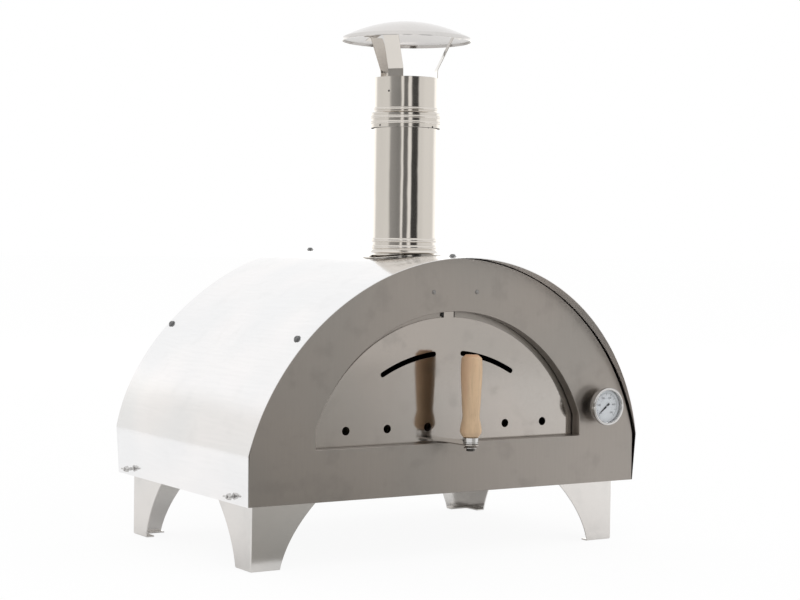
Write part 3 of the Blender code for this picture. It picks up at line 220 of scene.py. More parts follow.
class Finish:
    """One material's node tree, with a method that adds any node."""

    def __init__(self, name):
        self.material = bpy.data.materials.new(name)
        self.material.use_nodes = True
        self.tree = self.material.node_tree
        self.shader = self.tree.nodes["Principled BSDF"]

    def add(self, kind, settings, *values, output=0, **named):
        """A node of a kind: its settings are set first, then the values or links of its sockets."""
        node = self.tree.nodes.new(kind)
        for setting, value in settings.items():
            if setting == "stops":
                ramp = node.color_ramp
                for place, shade in value[2:]:
                    ramp.elements.new(place)
                for element, (place, shade) in zip(ramp.elements, sorted(value)):
                    element.position = place
                    element.color = (*shade, 1)
            else:
                setattr(node, setting, value)
        for index, value in enumerate(values):
            self.feed(node.inputs[index], value)
        for key, value in named.items():
            self.feed(node.inputs[key], value)
        return Link(self, node.outputs[output])

    def feed(self, socket, value):
        if isinstance(value, Link):
            self.tree.links.new(value.socket, socket)
        elif socket.type == "RGBA":
            socket.default_value = (*value, 1)
        else:
            socket.default_value = value

    def set(self, **inputs):
        for key, value in inputs.items():
            self.feed(self.shader.inputs[key.replace("_", " ")], value)

    def place(self, scale=(1, 1, 1), centre=(0, 0, 0)):
        """Object coordinates, moved to a centre and stretched."""
        coordinates = self.add("ShaderNodeTexCoord", {}, output="Object")
        offset = tuple(-c * s for c, s in zip(centre, scale))
        return self.add("ShaderNodeMapping", {}, Vector=coordinates, Location=offset, Scale=scale)

    def axes(self, vector):
        """The three parts of a vector."""
        node = self.tree.nodes.new("ShaderNodeSeparateXYZ")
        self.feed(node.inputs[0], vector)
        return [Link(self, output) for output in node.outputs]

    def noise(self, vector, scale, detail=2.0, roughness=0.5, distortion=0.0):
        named = {"Vector": vector, "Scale": scale, "Detail": detail, "Roughness": roughness,
                 "Distortion": distortion}
        return self.add("ShaderNodeTexNoise", {}, output="Fac", **named)

    def mix(self, share, first, second, blend="MIX"):
        """A colour between two, by a share."""
        node = self.tree.nodes.new("ShaderNodeMix")
        node.data_type = "RGBA"
        node.blend_type = blend
        self.feed(node.inputs[0], share)
        self.feed(node.inputs[6], first)
        self.feed(node.inputs[7], second)
        return Link(self, node.outputs[2])

    def bump(self, height, distance, strength=1.0):
        named = {"Height": height, "Distance": distance, "Strength": strength}
        return self.add("ShaderNodeBump", {}, output="Normal", **named)


def shade(rgb, factor):
    return tuple(min(1.0, part * factor) for part in rgb)


def steel(name, rgb, roughness, wave, smudge, brushed=(1, 1, 1)):
    """Sheet steel: slow waves in the sheet, faint smudges and fine brushing, stretched along one way."""
    finish = Finish(name)
    place = finish.place()
    smudges = finish.noise(place, 22.0, 3.0, 0.55)
    patches = finish.noise(place, 5.5, 1.0, 0.5)
    grain = finish.noise(finish.place(brushed), 260.0, 2.0, 0.6)
    stain = (smudges.smooth(0.52, 0.72) * smudge).clamped()
    warm = finish.mix(patches.smooth(0.35, 0.65), shade(rgb, 0.97), (rgb[0] * 1.03, rgb[1] * 1.01, rgb[2]))
    tone = finish.mix(stain, warm, shade(rgb, 0.72))
    tone = finish.mix(grain.smooth(0.3, 0.7) * 0.10, tone, shade(rgb, 0.8))
    waves = finish.noise(place, 7.0, 1.0, 0.4)
    fine = finish.bump(grain, 0.00002, 0.35)
    slow = finish.add(
        "ShaderNodeBump", {}, output="Normal",
        Height=waves, Distance=wave, Strength=1.0, Normal=fine)
    finish.set(
        Base_Color=tone, Metallic=1.0, Roughness=roughness + stain * 0.10 + grain * 0.04, Normal=slow)
    return finish.material


def pipe_steel(name, rgb, roughness, wave):
    """Rolled polished steel, with long streaks up the pipe and a few dints."""
    finish = Finish(name)
    place = finish.place()
    streaks = finish.noise(finish.place((30.0, 30.0, 1.6)), 1.0, 2.0, 0.55)
    dints = finish.noise(place, 34.0, 1.0, 0.4)
    tone = finish.mix(streaks.smooth(0.4, 0.75) * 0.3, rgb, shade(rgb, 0.84))
    ripples = streaks * 0.6 + dints * 0.25
    finish.set(
        Base_Color=tone, Metallic=1.0, Roughness=roughness + dints * 0.04,
        Normal=finish.bump(ripples, wave))
    return finish.material


def chrome(name, rgb=(0.62, 0.61, 0.60), roughness=0.06):
    finish = Finish(name)
    place = finish.place()
    wear = finish.noise(place, 420.0, 2.0, 0.5)
    finish.set(
        Base_Color=finish.mix(wear.smooth(0.5, 0.8) * 0.25, rgb, shade(rgb, 0.6)), Metallic=1.0,
        Roughness=roughness + wear * 0.08, Normal=finish.bump(wear, 0.00001, 0.4))
    return finish.material


def beech(name, rgb):
    """Turned beech: long grain up the handle, short dark flecks, rosier streaks and end grain."""
    finish = Finish(name)
    centre = (HANDLE_AXIS.x, HANDLE_AXIS.y, 0)
    long_grain = finish.noise(finish.place((70.0, 70.0, 5.0), centre), 1.6, 4.0, 0.6, 0.4)
    flecks = finish.noise(finish.place((1500.0, 1500.0, 110.0), centre), 1.0, 2.0, 0.5)
    rosy = finish.noise(finish.place((40.0, 40.0, 6.0), centre), 1.0, 1.0, 0.4)
    height = finish.axes(finish.place())[2]
    top = height.smooth(HANDLE_HIGH.z - 0.004, HANDLE_HIGH.z - 0.001)
    tone = finish.mix(long_grain.smooth(0.35, 0.7), shade(rgb, 1.12), shade(rgb, 0.92))
    tone = finish.mix(rosy.smooth(0.42, 0.66) * 0.5, tone, (rgb[0] * 1.02, rgb[1] * 0.86, rgb[2] * 0.84))
    tone = finish.mix(flecks.smooth(0.62, 0.72) * 0.35, tone, shade(rgb, 0.6))
    tone = finish.mix(top * 0.6, tone, (rgb[0] * 1.05, rgb[1] * 0.78, rgb[2] * 0.68))
    finish.set(
        Base_Color=tone, Roughness=0.48 + flecks * 0.16,
        Normal=finish.bump(long_grain * 0.6 + flecks * 0.4, 0.00012, 0.5))
    finish.shader.inputs["Coat Weight"].default_value = 0.08
    return finish.material


def refractory(name, rgb):
    finish = Finish(name)
    place = finish.place()
    grain = finish.noise(place, 420.0, 4.0, 0.65)
    clouds = finish.noise(place, 14.0, 3.0, 0.5)
    soot = finish.noise(place, 6.0, 2.0, 0.5)
    tone = finish.mix(clouds.smooth(0.35, 0.7), shade(rgb, 1.08), shade(rgb, 0.86))
    tone = finish.mix(grain.smooth(0.55, 0.75) * 0.5, tone, shade(rgb, 0.6))
    tone = finish.mix(soot.smooth(0.58, 0.75) * 0.4, tone, (0.10, 0.085, 0.07))
    finish.set(Base_Color=tone, Roughness=0.9, Normal=finish.bump(grain, 0.0004, 0.6))
    return finish.material


def wool(name, rgb):
    finish = Finish(name)
    fibres = finish.noise(finish.place((1, 1, 6)), 260.0, 5.0, 0.7, 1.5)
    tufts = finish.noise(finish.place(), 40.0, 2.0, 0.5)
    tone = finish.mix(fibres.smooth(0.35, 0.7), shade(rgb, 1.05), shade(rgb, 0.78))
    finish.set(Base_Color=tone, Roughness=0.95, Normal=finish.bump(fibres + tufts, 0.001, 0.8))
    return finish.material


def dial_card(name):
    """A white dial printed with a scale: short and long strokes round three quarters of its edge."""
    finish = Finish(name)
    centre = (GAUGE_AXIS.x, 0, GAUGE_AXIS.z)
    x, y, z = finish.axes(finish.place((1, 1, 1), centre))
    reach = finish.add("ShaderNodeMath", {"operation": "SQRT"}, x * x + z * z)
    turn = finish.add("ShaderNodeMath", {"operation": "ARCTAN2"}, x, z)
    share = (turn + math.radians(135)) / math.radians(270)
    printed = share.within(-0.004, 1.004)

    def strokes(count, width, inner, outer):
        part = share * float(count) + 0.5
        near = part.math("ABSOLUTE", part.math("FRACT", part) - 0.5)
        return part.math("LESS_THAN", near, width * count) * reach.within(inner, outer) * printed

    ink = strokes(10, 0.0036, 0.0172, 0.0214) + strokes(50, 0.0018, 0.0192, 0.0214)
    ink = (ink + reach.within(0.0213, 0.0217) * printed + reach.within(0.0118, 0.0121) * printed * 0.5).clamped()
    band = share.within(0.30, 0.62) * reach.within(0.0122, 0.0140)
    paper = finish.noise(finish.place(), 900.0, 2.0, 0.5)
    tone = finish.mix(paper.smooth(0.3, 0.7), (0.72, 0.73, 0.75), (0.66, 0.67, 0.70))
    tone = finish.mix(band * 0.35, tone, (0.50, 0.50, 0.56))
    tone = finish.mix(ink * 0.75, tone, (0.10, 0.10, 0.11))
    finish.set(Base_Color=tone, Roughness=0.55)
    return finish.material


def plain(name, rgb, roughness, metallic=0.0, grain_scale=600.0):
    """An even finish with a fine grain."""
    finish = Finish(name)
    grain = finish.noise(finish.place(), grain_scale, 3.0, 0.55)
    tone = finish.mix(grain.smooth(0.4, 0.7) * 0.4, rgb, shade(rgb, 0.7))
    finish.set(
        Base_Color=tone, Roughness=roughness + grain * 0.08, Normal=finish.bump(grain, 0.00004, 0.5))
    finish.shader.inputs["Metallic"].default_value = metallic
    return finish.material


def shared(name, make, *settings):
    """A finish that several pieces share, made when the first one needs it."""
    return bpy.data.materials.get(name) or make(name, *settings)


def clear_glass(name):
    finish = Finish(name)
    smears = finish.noise(finish.place(), 120.0, 2.0, 0.5)
    finish.set(Base_Color=(0.97, 0.98, 0.98), Roughness=0.02 + smears * 0.02)
    finish.shader.inputs["Transmission Weight"].default_value = 1.0
    finish.shader.inputs["IOR"].default_value = 1.12
    return finish.material


# Modelling by hand-style operators

def alone(piece):
    bpy.ops.object.select_all(action="DESELECT")
    piece.select_set(True)
    bpy.context.view_layer.objects.active = piece


def into_edit(piece):
    alone(piece)
    bpy.ops.object.mode_set(mode="EDIT")


def out_of_edit():
    bpy.ops.object.mode_set(mode="OBJECT")


def pick(test, kind="VERT"):
    """Selects the parts of the piece in edit mode whose middle and normal pass a test."""
    bpy.ops.mesh.select_mode(type=kind)
    bpy.ops.mesh.select_all(action="DESELECT")
    bm = bmesh.from_edit_mesh(bpy.context.edit_object.data)
    if kind == "VERT":
        for vertex in bm.verts:
            vertex.select_set(test(vertex.co, vertex.normal))
    elif kind == "EDGE":
        for edge in bm.edges:
            start, end = (vertex.co for vertex in edge.verts)
            edge.select_set(test((start + end) / 2, (end - start).normalized()))
    else:
        for face in bm.faces:
            face.select_set(test(face.calc_center_median(), face.normal))
    bm.select_flush_mode()
    bmesh.update_edit_mesh(bpy.context.edit_object.data)


def first_point(name, place):
    """Starts a piece as one selected vertex at a place, in edit mode."""
    bpy.ops.object.select_all(action="DESELECT")
    bpy.ops.mesh.primitive_plane_add(size=0.001, location=place)
    piece = bpy.context.object
    piece.name = piece.data.name = name
    bpy.ops.object.transform_apply(location=True, rotation=True, scale=True)
    into_edit(piece)
    bpy.ops.mesh.select_mode(type="VERT")
    bpy.ops.mesh.select_all(action="SELECT")
    bpy.ops.mesh.merge(type="CENTER")
    return piece


def draw_on(points):
    """Extrudes the selected vertex from each point to the next."""
    points = [Vector(point) for point in points]
    for before, after in zip(points, points[1:]):
        bpy.ops.mesh.extrude_vertices_move(TRANSFORM_OT_translate={"value": after - before})


def add_point(place):
    """Adds one more selected vertex to the piece in edit mode."""
    bpy.ops.mesh.select_mode(type="VERT")
    bpy.ops.mesh.select_all(action="DESELECT")
    bpy.ops.mesh.primitive_plane_add(size=0.001, location=place)
    bpy.ops.mesh.merge(type="CENTER")


def rounded(place):
    return tuple(round(part, 5) for part in place)


def merge_all():
    bpy.ops.mesh.select_mode(type="VERT")
    bpy.ops.mesh.select_all(action="SELECT")
    bpy.ops.mesh.remove_doubles(threshold=TINY)


def face_out():
    bpy.ops.mesh.select_all(action="SELECT")
    bpy.ops.mesh.normals_make_consistent(inside=False)


def turn_out(middle):
    """Turns an open sheet's faces away from a place on its inner side."""
    face_out()
    bm = bmesh.from_edit_mesh(bpy.context.edit_object.data)
    away = sum(face.calc_area() * (face.calc_center_median() - middle).dot(face.normal) for face in bm.faces)
    if away < 0:
        bpy.ops.mesh.select_all(action="SELECT")
        bpy.ops.mesh.flip_normals()


def round_bends(piece, width):
    """Rounds the sharp folds of an open sheet in edit mode."""
    bpy.ops.mesh.select_mode(type="EDGE")
    bpy.ops.mesh.select_all(action="DESELECT")
    bm = bmesh.from_edit_mesh(piece.data)
    bm.normal_update()
    for edge in bm.edges:
        edge.select_set(len(edge.link_faces) == 2 and edge.calc_face_angle() > 0.9)
    bmesh.update_edit_mesh(piece.data)
    bpy.ops.mesh.bevel(offset=width, segments=4, affect="EDGES")


def sheet_from(name, points, push):
    """A flat outline, filled and extruded to its thickness."""
    piece = first_point(name, points[0])
    draw_on([*points, points[0]])
    merge_all()
    bpy.ops.mesh.edge_face_add()
    bpy.ops.mesh.extrude_region_move(TRANSFORM_OT_translate={"value": Vector(push)})
    face_out()
    out_of_edit()
    return piece


def turned(name, profile, middle, axis="Z", steps=96):
    """A profile of radius and distance along an axis, drawn point by point and spun round it."""
    middle = Vector(middle)

    def spot(radius, along):
        return middle + (Vector((radius, 0, along)) if axis == "Z" else Vector((radius, -along, 0)))

    points = [spot(*pair) for pair in profile]
    piece = first_point(name, points[0])
    draw_on(points)
    bpy.ops.mesh.select_all(action="SELECT")
    spin_axis = (0, 0, 1) if axis == "Z" else (0, 1, 0)
    bpy.ops.mesh.spin(steps=steps, angle=2 * math.pi, center=middle, axis=spin_axis)
    merge_all()
    face_out()
    out_of_edit()
    return piece


def apply_modifier(piece, kind, **settings):
    alone(piece)
    modifier = piece.modifiers.new(kind.lower(), kind)
    for setting, value in settings.items():
        setattr(modifier, setting, value)
    bpy.ops.object.modifier_apply(modifier=modifier.name)


def round_edges(piece, width, segments=2, angle=30):
    apply_modifier(
        piece, "BEVEL", width=width, segments=segments, limit_method="ANGLE",
        angle_limit=math.radians(angle), use_clamp_overlap=True)


def boolean(piece, tool, operation="DIFFERENCE"):
    apply_modifier(piece, "BOOLEAN", operation=operation, object=tool, solver="EXACT")
    bpy.data.objects.remove(tool)


def rod(radius, start, end, sides=48):
    """A plain cylinder from one place to another, for cutting or joining."""
    start, end = Vector(start), Vector(end)
    bpy.ops.object.select_all(action="DESELECT")
    bpy.ops.mesh.primitive_cylinder_add(
        vertices=sides, radius=radius, depth=(end - start).length, location=(start + end) / 2,
        rotation=(end - start).to_track_quat("Z", "Y").to_euler())
    bpy.ops.object.transform_apply(location=True, rotation=True, scale=True)
    return bpy.context.object


def join(pieces):
    bpy.ops.object.select_all(action="DESELECT")
    for piece in pieces:
        piece.select_set(True)
    bpy.context.view_layer.objects.active = pieces[0]
    bpy.ops.object.join()
    return pieces[0]


def copy_of(piece, name):
    alone(piece)
    bpy.ops.object.duplicate(linked=False)
    made = bpy.context.object
    made.name = made.data.name = name
    return made


def flipped(piece, x, y, middle_y=0):
    """Mirrors a piece through the oven's middle, or a line across it, with its faces turned out again."""
    alone(piece)
    piece.scale = (x, y, 1)
    piece.location.y = 2 * middle_y if y < 0 else 0
    bpy.ops.object.transform_apply(location=True, rotation=True, scale=True)
    into_edit(piece)
    face_out()
    out_of_edit()
    return piece


def moved(piece, place, way):
    """Turns a piece that stands on the origin to a direction and moves it to its place."""
    alone(piece)
    piece.rotation_euler = way.to_track_quat("Z", "Y").to_euler()
    piece.location = place
    bpy.ops.object.transform_apply(location=True, rotation=True, scale=True)
    return piece


def finished(piece, material, body, nodes, angle=32, even=False):
    """Smooths a piece, gives it its finish and lets it stand for its nodes."""
    alone(piece)
    bpy.ops.object.shade_smooth_by_angle(angle=math.radians(angle))
    if even:
        apply_modifier(piece, "WEIGHTED_NORMAL", keep_sharp=True)
    piece.data.materials.clear()
    piece.data.materials.append(material)
    if nodes:
        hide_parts(*nodes)
    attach(piece, body)
    return piece


def dress(material, *nodes):
    """Gives a material to nodes of the frame that keep their own shape."""
    for node in nodes:
        mesh = frame["nodes"][node].data
        mesh.materials.clear()
        mesh.materials.append(material)


def at(x, y, h):
    """World place of a point x from the middle, y behind the panel's face and h above its foot."""
    return Vector((x, FACE + y, FOOT + h))


class Arch:
    """An outline with upright sides and one round arc over them."""

    def __init__(self, half_width, foot, centre, radius):
        self.half_width = half_width
        self.foot = foot
        self.centre = centre
        self.radius = radius

    @classmethod
    def through(cls, half_width, foot, spring, apex):
        rise = apex - spring
        radius = (half_width ** 2 + rise ** 2) / (2 * rise)
        return cls(half_width, foot, apex - radius, radius)

    def grown(self, by, foot=None):
        return Arch(self.half_width + by, self.foot - by if foot is None else foot, self.centre, self.radius + by)

    @property
    def apex(self):
        return self.centre + self.radius

    @property
    def span(self):
        """Angle of the arc, from side to side."""
        return math.pi - 2 * math.acos(self.half_width / self.radius)

    def height_at(self, x):
        return self.centre + math.sqrt(self.radius ** 2 - x ** 2)

    def holds(self, x, h):
        inside = abs(x) < self.half_width and h > self.foot
        return inside and math.hypot(x, h - self.centre) < self.radius

    def arc(self, steps=120, flat=0.0):
        start = math.acos(self.half_width / self.radius)
        for step in range(steps + 1):
            share = step / steps
            angle = math.pi - start - share * (math.pi - 2 * start)
            radius = self.radius - flat * math.sin(2 * math.pi * share) ** 2
            yield radius * math.cos(angle), self.centre + radius * math.sin(angle)

    def outline(self, steps=120):
        return [(-self.half_width, self.foot), *self.arc(steps), (self.half_width, self.foot)]


def panel_arch(sizes):
    return Arch.through(PANEL_HIGH.x, 0, sizes.side_height, PANEL_HIGH.z - FOOT)


def mouth_arch(sizes):
    return Arch.through(
        sizes.mouth_half_width, sizes.mouth_sill, sizes.mouth_sill + sizes.mouth_side, sizes.mouth_apex)


# The vault's half width, rise and flattening at the front and the rear
LEAN_EASE = 0.00001
VAULT_SECTIONS = ((0.3543, 0.0, 0.0), (0.3513, 0.006, 0.009))
REAR_PANEL_SHARE = 0.9507
SKIRT_DRAW = 0.0028
SKIRT_TAPER = 0.0044
VISOR_RAKE = 0.1012
SCREW_ANGLE = math.radians(48)
SCREW_ROWS = (0.0095, 0.448)
STUD_HEIGHT = 0.0105
STUD_ROWS = (0.0496, 0.409)
RIVET_OFFSET, RIVET_HEIGHT = 0.0394, 0.306
TAB_HALF_WIDTH = 0.009
VENT_PLACES, VENT_HEIGHT = (0.0361, 0.1083, 0.1805), 0.1006
SLOT_ENDS = ((0.0264, 0.2112), (0.1174, 0.1823))
SLOT_HALF_WIDTH = 0.004
PIPE_RADIUS = 0.05075
SKIRT_STEP = 0.0048
STRAP_ANGLES = (-142.4, -22.4, 97.6)
SLEEVE_RIVETS = (
    (-154.1, 0.6161, PIPE_RADIUS), (-99.8, 0.5769, PIPE_RADIUS + SKIRT_STEP),
    (-73.2, 0.5610, PIPE_RADIUS + SKIRT_STEP), (-168.3, 0.5629, PIPE_RADIUS + SKIRT_STEP),
    (98.0, 0.6161, PIPE_RADIUS), (25.0, 0.5769, PIPE_RADIUS + SKIRT_STEP))
LEG_LEAN_SHARE = 0.356
HANDLE_PROFILE_SHARES = (
    (0.000, 0.74), (0.020, 0.86), (0.060, 1.00), (0.110, 0.97), (0.160, 0.91), (0.210, 0.82),
    (0.255, 0.79), (0.320, 0.82), (0.420, 0.87), (0.560, 0.92), (0.700, 0.98), (0.800, 1.00),
    (0.900, 0.98), (0.950, 0.95), (0.962, 0.93), (0.993, 0.64), (1.000, 0.60))
WING_OUTLINE = (
    (0.30, 0.12), (0.60, 0.16), (0.80, 0.293), (0.94, 0.50), (1.0, 0.80), (0.96, 0.94), (0.85, 1.0), (0.72, 0.94),
    (0.357, 0.66))


def vault_arch(sizes, share):
    """The vault's section at a share of its depth."""
    front_apex = VAULT_HIGH.z - FOOT - VAULT_SECTIONS[1][1]
    half_width = VAULT_SECTIONS[0][0] + (VAULT_SECTIONS[1][0] - VAULT_SECTIONS[0][0]) * share
    return Arch.through(half_width, 0, sizes.side_height, front_apex + VAULT_SECTIONS[1][1] * share)


def visor_front(sizes, h):
    """How far behind the panel's face the vault's front edge is at a height."""
    side = sizes.side_height
    return -SKIRT_TAPER * h / side if h < side else -SKIRT_TAPER - VISOR_RAKE * (h - side)


def vault_line(sizes, rear):
    """The vault's outer edge at the front or the rear, from the left skirt's foot to the right's."""
    arch = vault_arch(sizes, rear)
    half_width, side = arch.half_width, sizes.side_height
    depth = VAULT_HIGH.y - FACE
    skirt = [(-half_width + SKIRT_DRAW * (1 - step / 4), side * step / 4) for step in range(4)]
    points = [*skirt, *arch.arc(160, VAULT_SECTIONS[rear][2]), *[(-x, h) for x, h in reversed(skirt)]]
    line = []
    for x, h in points:
        back = depth - SKIRT_TAPER * max(0, 1 - h / side)
        line.append(at(x, back if rear else visor_front(sizes, h), h))
    return line


def depth_share(sizes, y, h):
    front = visor_front(sizes, h)
    return (y - front) / (VAULT_HIGH.y - FACE - front)


def vault_place(sizes, angle, y):
    """A place on the vault at an angle from its crest and a depth."""
    front = vault_arch(sizes, 0)
    share = depth_share(sizes, y, front.centre + front.radius * math.cos(angle))
    arch = vault_arch(sizes, share)
    radius = arch.radius - share * VAULT_SECTIONS[1][2] * math.sin(2 * math.pi * angle / arch.span) ** 2
    return at(radius * math.sin(angle), y, arch.centre + radius * math.cos(angle))


def screw_places(sizes):
    """Each vault screw's place and the direction of its head."""
    for y in SCREW_ROWS:
        for angle in (-SCREW_ANGLE, 0, SCREW_ANGLE):
            yield vault_place(sizes, angle, y), Vector((math.sin(angle), 0, math.cos(angle)))


def level_ring(radius, z, steps=96):
    angles = [2 * math.pi * step / steps for step in range(steps)]
    return [Vector((FLUE_AXIS.x + radius * math.cos(a), FLUE_AXIS.y + radius * math.sin(a), z)) for a in angles]


def saddle_ring(sizes, radius, lift, steps=96):
    """A circle round the flue that follows the vault at a height over it."""
    places = []
    for place in level_ring(radius, 0, steps):
        share = depth_share(sizes, place.y - FACE, VAULT_HIGH.z - FOOT - VAULT_SECTIONS[1][1])
        arch = vault_arch(sizes, share)
        lean = math.asin(place.x / arch.radius)
        reach = arch.radius - share * VAULT_SECTIONS[1][2] * math.sin(2 * math.pi * lean / arch.span) ** 2
        places.append(Vector((place.x, place.y, FOOT + arch.centre + math.sqrt(reach ** 2 - place.x ** 2) + lift)))
    return places


def ridge(radius, height, middle, half_length, steps=10):
    """Profile points of a rolled ridge, from its top down."""
    angles = [math.pi * step / steps for step in range(steps + 1)]
    return [(radius + height * math.sin(a), middle + half_length * math.cos(a)) for a in angles]


def curve_through(points, cuts):
    """More points on a smooth curve through the given ones."""
    ends = [points[0], *points, points[-1]]
    made = []
    for before, start, end, after in zip(ends, ends[1:], ends[2:], ends[3:]):
        for cut in range(cuts):
            t = cut / cuts
            made.append(tuple(
                0.5 * (2 * b + (c - a) * t + (2 * a - 5 * b + 4 * c - d) * t ** 2 + (3 * b - a - 3 * c + d) * t ** 3)
                for a, b, c, d in zip(before, start, end, after)))
    return [*made, points[-1]]


def tongue_outline(rear):
    """The door's tongue from above: wide at the door, drawn in by a hollow curve, round under the handle."""
    root, width, fillet = 0.030, 0.013, 0.054
    half = []
    for step in range(17):
        turn = math.pi / 2 * step / 16
        half.append((root - (root - width) * math.sin(turn), rear - fillet * (1 - math.cos(turn))))
    for step in range(1, 17):
        turn = math.pi / 2 * step / 16
        half.append((width * math.cos(turn), HANDLE_AXIS.y - FACE - width * math.sin(turn)))
    return half + [(-x, y) for x, y in half[-2::-1]]


def slot_outline(side, foot):
    """An arc slot with round ends, left or right of the tab."""
    (near_x, near_h), (far_x, far_h) = SLOT_ENDS
    centre = (far_x ** 2 - near_x ** 2 + far_h ** 2 - near_h ** 2) / (2 * (far_h - near_h))
    radius = math.hypot(near_x, near_h - centre)
    first, last = (math.atan2(x, h - centre) for x, h in SLOT_ENDS)
    outline = []

    def add(angle, edge, push):
        reach = radius + edge * SLOT_HALF_WIDTH
        x = reach * math.sin(angle) + push * SLOT_HALF_WIDTH * math.cos(angle)
        h = reach * math.cos(angle) - push * SLOT_HALF_WIDTH * math.sin(angle)
        outline.append((side * x, centre + h))

    for start, end, edge in ((first, last, 1), (last, first, -1)):
        for step in range(25):
            add(start + (end - start) * step / 24, edge, 0)
        for step in range(1, 10):
            turn = math.pi * step / 10
            add(end, edge * math.cos(turn), edge * math.sin(turn))
    return outline


class OVEN_OT_vault(bpy.types.Operator):
    """Bends the outer vault: two drawn edges, bridged, given a thickness and cut for the flue, screws and studs"""
    bl_idname = "oven.vault"
    bl_label = "Outer vault"

    def execute(self, context):
        sizes, finishes = context.scene.oven_sizes, context.scene.oven_finishes
        front = vault_line(sizes, 0)
        rear = [place - Vector((0, LEAN_EASE, 0)) for place in vault_line(sizes, 1)]
        piece = first_point("vault", front[0])
        draw_on(front)
        add_point(rear[0])
        draw_on(rear)
        bpy.ops.mesh.select_all(action="SELECT")
        bpy.ops.mesh.bridge_edge_loops(number_cuts=7, interpolation="LINEAR")
        merge_all()
        turn_out(at(0, 0.2, 0.05))
        out_of_edit()
        apply_modifier(piece, "SOLIDIFY", thickness=sizes.vault_sheet, offset=-1, use_even_offset=True)
        flue_y = FLUE_AXIS.y - FACE
        boolean(piece, rod(PIPE_HIGH.x - 0.008, at(0, flue_y, 0.3), at(0, flue_y, 0.4), 96))
        for place, outward in screw_places(sizes):
            boolean(piece, rod(0.0022, place - outward * 0.01, place + outward * 0.01, 24))
        for y in STUD_ROWS:
            boolean(piece, rod(0.0028, at(-0.4, y, STUD_HEIGHT), at(0.4, y, STUD_HEIGHT), 24))
        # The vault's colour is brighter than steel, a painted reflection of the bright studio over it.
        finish = steel("mirror_sheet_with_painted_reflection", finishes.vault, 0.10, 0.0009, 0.10, (1, 0.05, 1))
        finished(piece, finish, "oven", ["outer_vault"], 20)
        return {"FINISHED"}


class OVEN_OT_front_panel(bpy.types.Operator):
    """Cuts the front panel, turns its rim and the mouth's wall back and rounds the bends"""
    bl_idname = "oven.front_panel"
    bl_label = "Front panel"

    def execute(self, context):
        sizes, finishes = context.scene.oven_sizes, context.scene.oven_finishes
        outer, mouth = panel_arch(sizes), mouth_arch(sizes)
        outline = [at(x, 0, h) for x, h in outer.outline()]
        hole = [at(x, 0, h) for x, h in mouth.outline()]
        piece = first_point("panel", outline[0])
        draw_on([*outline, outline[0]])
        add_point(hole[0])
        draw_on([*hole, hole[0]])
        merge_all()
        bpy.ops.mesh.fill(use_beauty=True)
        turn_out(at(0, 0.2, 0.1))
        between = mouth.grown(0.002)
        for inside, depth in ((True, sizes.mouth_wall), (False, sizes.panel_rim)):
            bm = bmesh.from_edit_mesh(piece.data)
            bpy.ops.mesh.select_mode(type="EDGE")
            bpy.ops.mesh.select_all(action="DESELECT")
            for edge in bm.edges:
                middle = (edge.verts[0].co + edge.verts[1].co) / 2
                flat = all(abs(vertex.co.y - FACE) < TINY for vertex in edge.verts)
                edge.select_set(edge.is_boundary and flat and between.holds(middle.x, middle.z - FOOT) == inside)
            bm.select_flush_mode()
            bmesh.update_edit_mesh(piece.data)
            bpy.ops.mesh.extrude_region_move(TRANSFORM_OT_translate={"value": Vector((0, depth, 0))})
        merge_all()
        turn_out(at(0, 0.2, 0.1))
        round_bends(piece, 0.0011)
        out_of_edit()
        apply_modifier(piece, "SOLIDIFY", thickness=sizes.panel_sheet, offset=-1, use_even_offset=True)
        for x in (-RIVET_OFFSET, RIVET_OFFSET):
            boolean(piece, rod(0.0023, at(x, -0.01, RIVET_HEIGHT), at(x, 0.01, RIVET_HEIGHT), 24))
        stem = GAUGE_AXIS.x, GAUGE_AXIS.z - FOOT
        boolean(piece, rod(0.0033, at(stem[0], -0.01, stem[1]), at(stem[0], 0.01, stem[1]), 24))
        for place, outward in screw_places(sizes):
            if place.y < 0:
                boolean(piece, rod(0.0022, place - outward * 0.01, place + outward * 0.01, 24))
        # The panel's dark colour is partly a painted reflection of the dim studio before it.
        finish = steel("satin_sheet_with_painted_reflection", finishes.panel, 0.30, 0.0005, 0.30, (1, 1, 0.06))
        finished(piece, finish, "oven", ["front_panel"], 32, True)
        return {"FINISHED"}


class OVEN_OT_rear_panel(bpy.types.Operator):
    """Makes the rear panel, a pan whose rim is turned forward into the vault"""
    bl_idname = "oven.rear_panel"
    bl_label = "Rear panel"

    def execute(self, context):
        sizes = context.scene.oven_sizes
        low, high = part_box("rear_panel")
        depth = high.y - low.y
        inset = sizes.vault_sheet + 0.0006
        arch = vault_arch(sizes, REAR_PANEL_SHARE).grown(-inset, 0)
        foot = arch.half_width - SKIRT_DRAW
        flat = VAULT_SECTIONS[1][2] * REAR_PANEL_SHARE
        outline = [(-foot, 0), *arch.arc(120, flat), (foot, 0)]
        places = [at(x, high.y - FACE, h) for x, h in outline]
        piece = first_point("rear_sheet", places[0])
        draw_on([*places, places[0]])
        merge_all()
        bpy.ops.mesh.edge_face_add()
        bpy.ops.mesh.select_mode(type="EDGE")
        bpy.ops.mesh.region_to_loop()
        bpy.ops.mesh.extrude_region_move(TRANSFORM_OT_translate={"value": Vector((0, -depth, 0))})
        merge_all()
        turn_out(at(0, 0.2, 0.1))
        round_bends(piece, 0.0012)
        out_of_edit()
        apply_modifier(piece, "SOLIDIFY", thickness=sizes.panel_sheet, offset=-1, use_even_offset=True)
        for place, outward in screw_places(sizes):
            if place.y > 0:
                boolean(piece, rod(0.0022, place - outward * 0.01, place + outward * 0.01, 24))
        # The rear panel takes the front panel's colour, with its painted reflection of the dim studio.
        finish = steel("rear_sheet", context.scene.oven_finishes.panel, 0.32, 0.0005, 0.30, (1, 1, 0.06))
        finished(piece, finish, "oven", ["rear_panel"], 32, True)
        return {"FINISHED"}


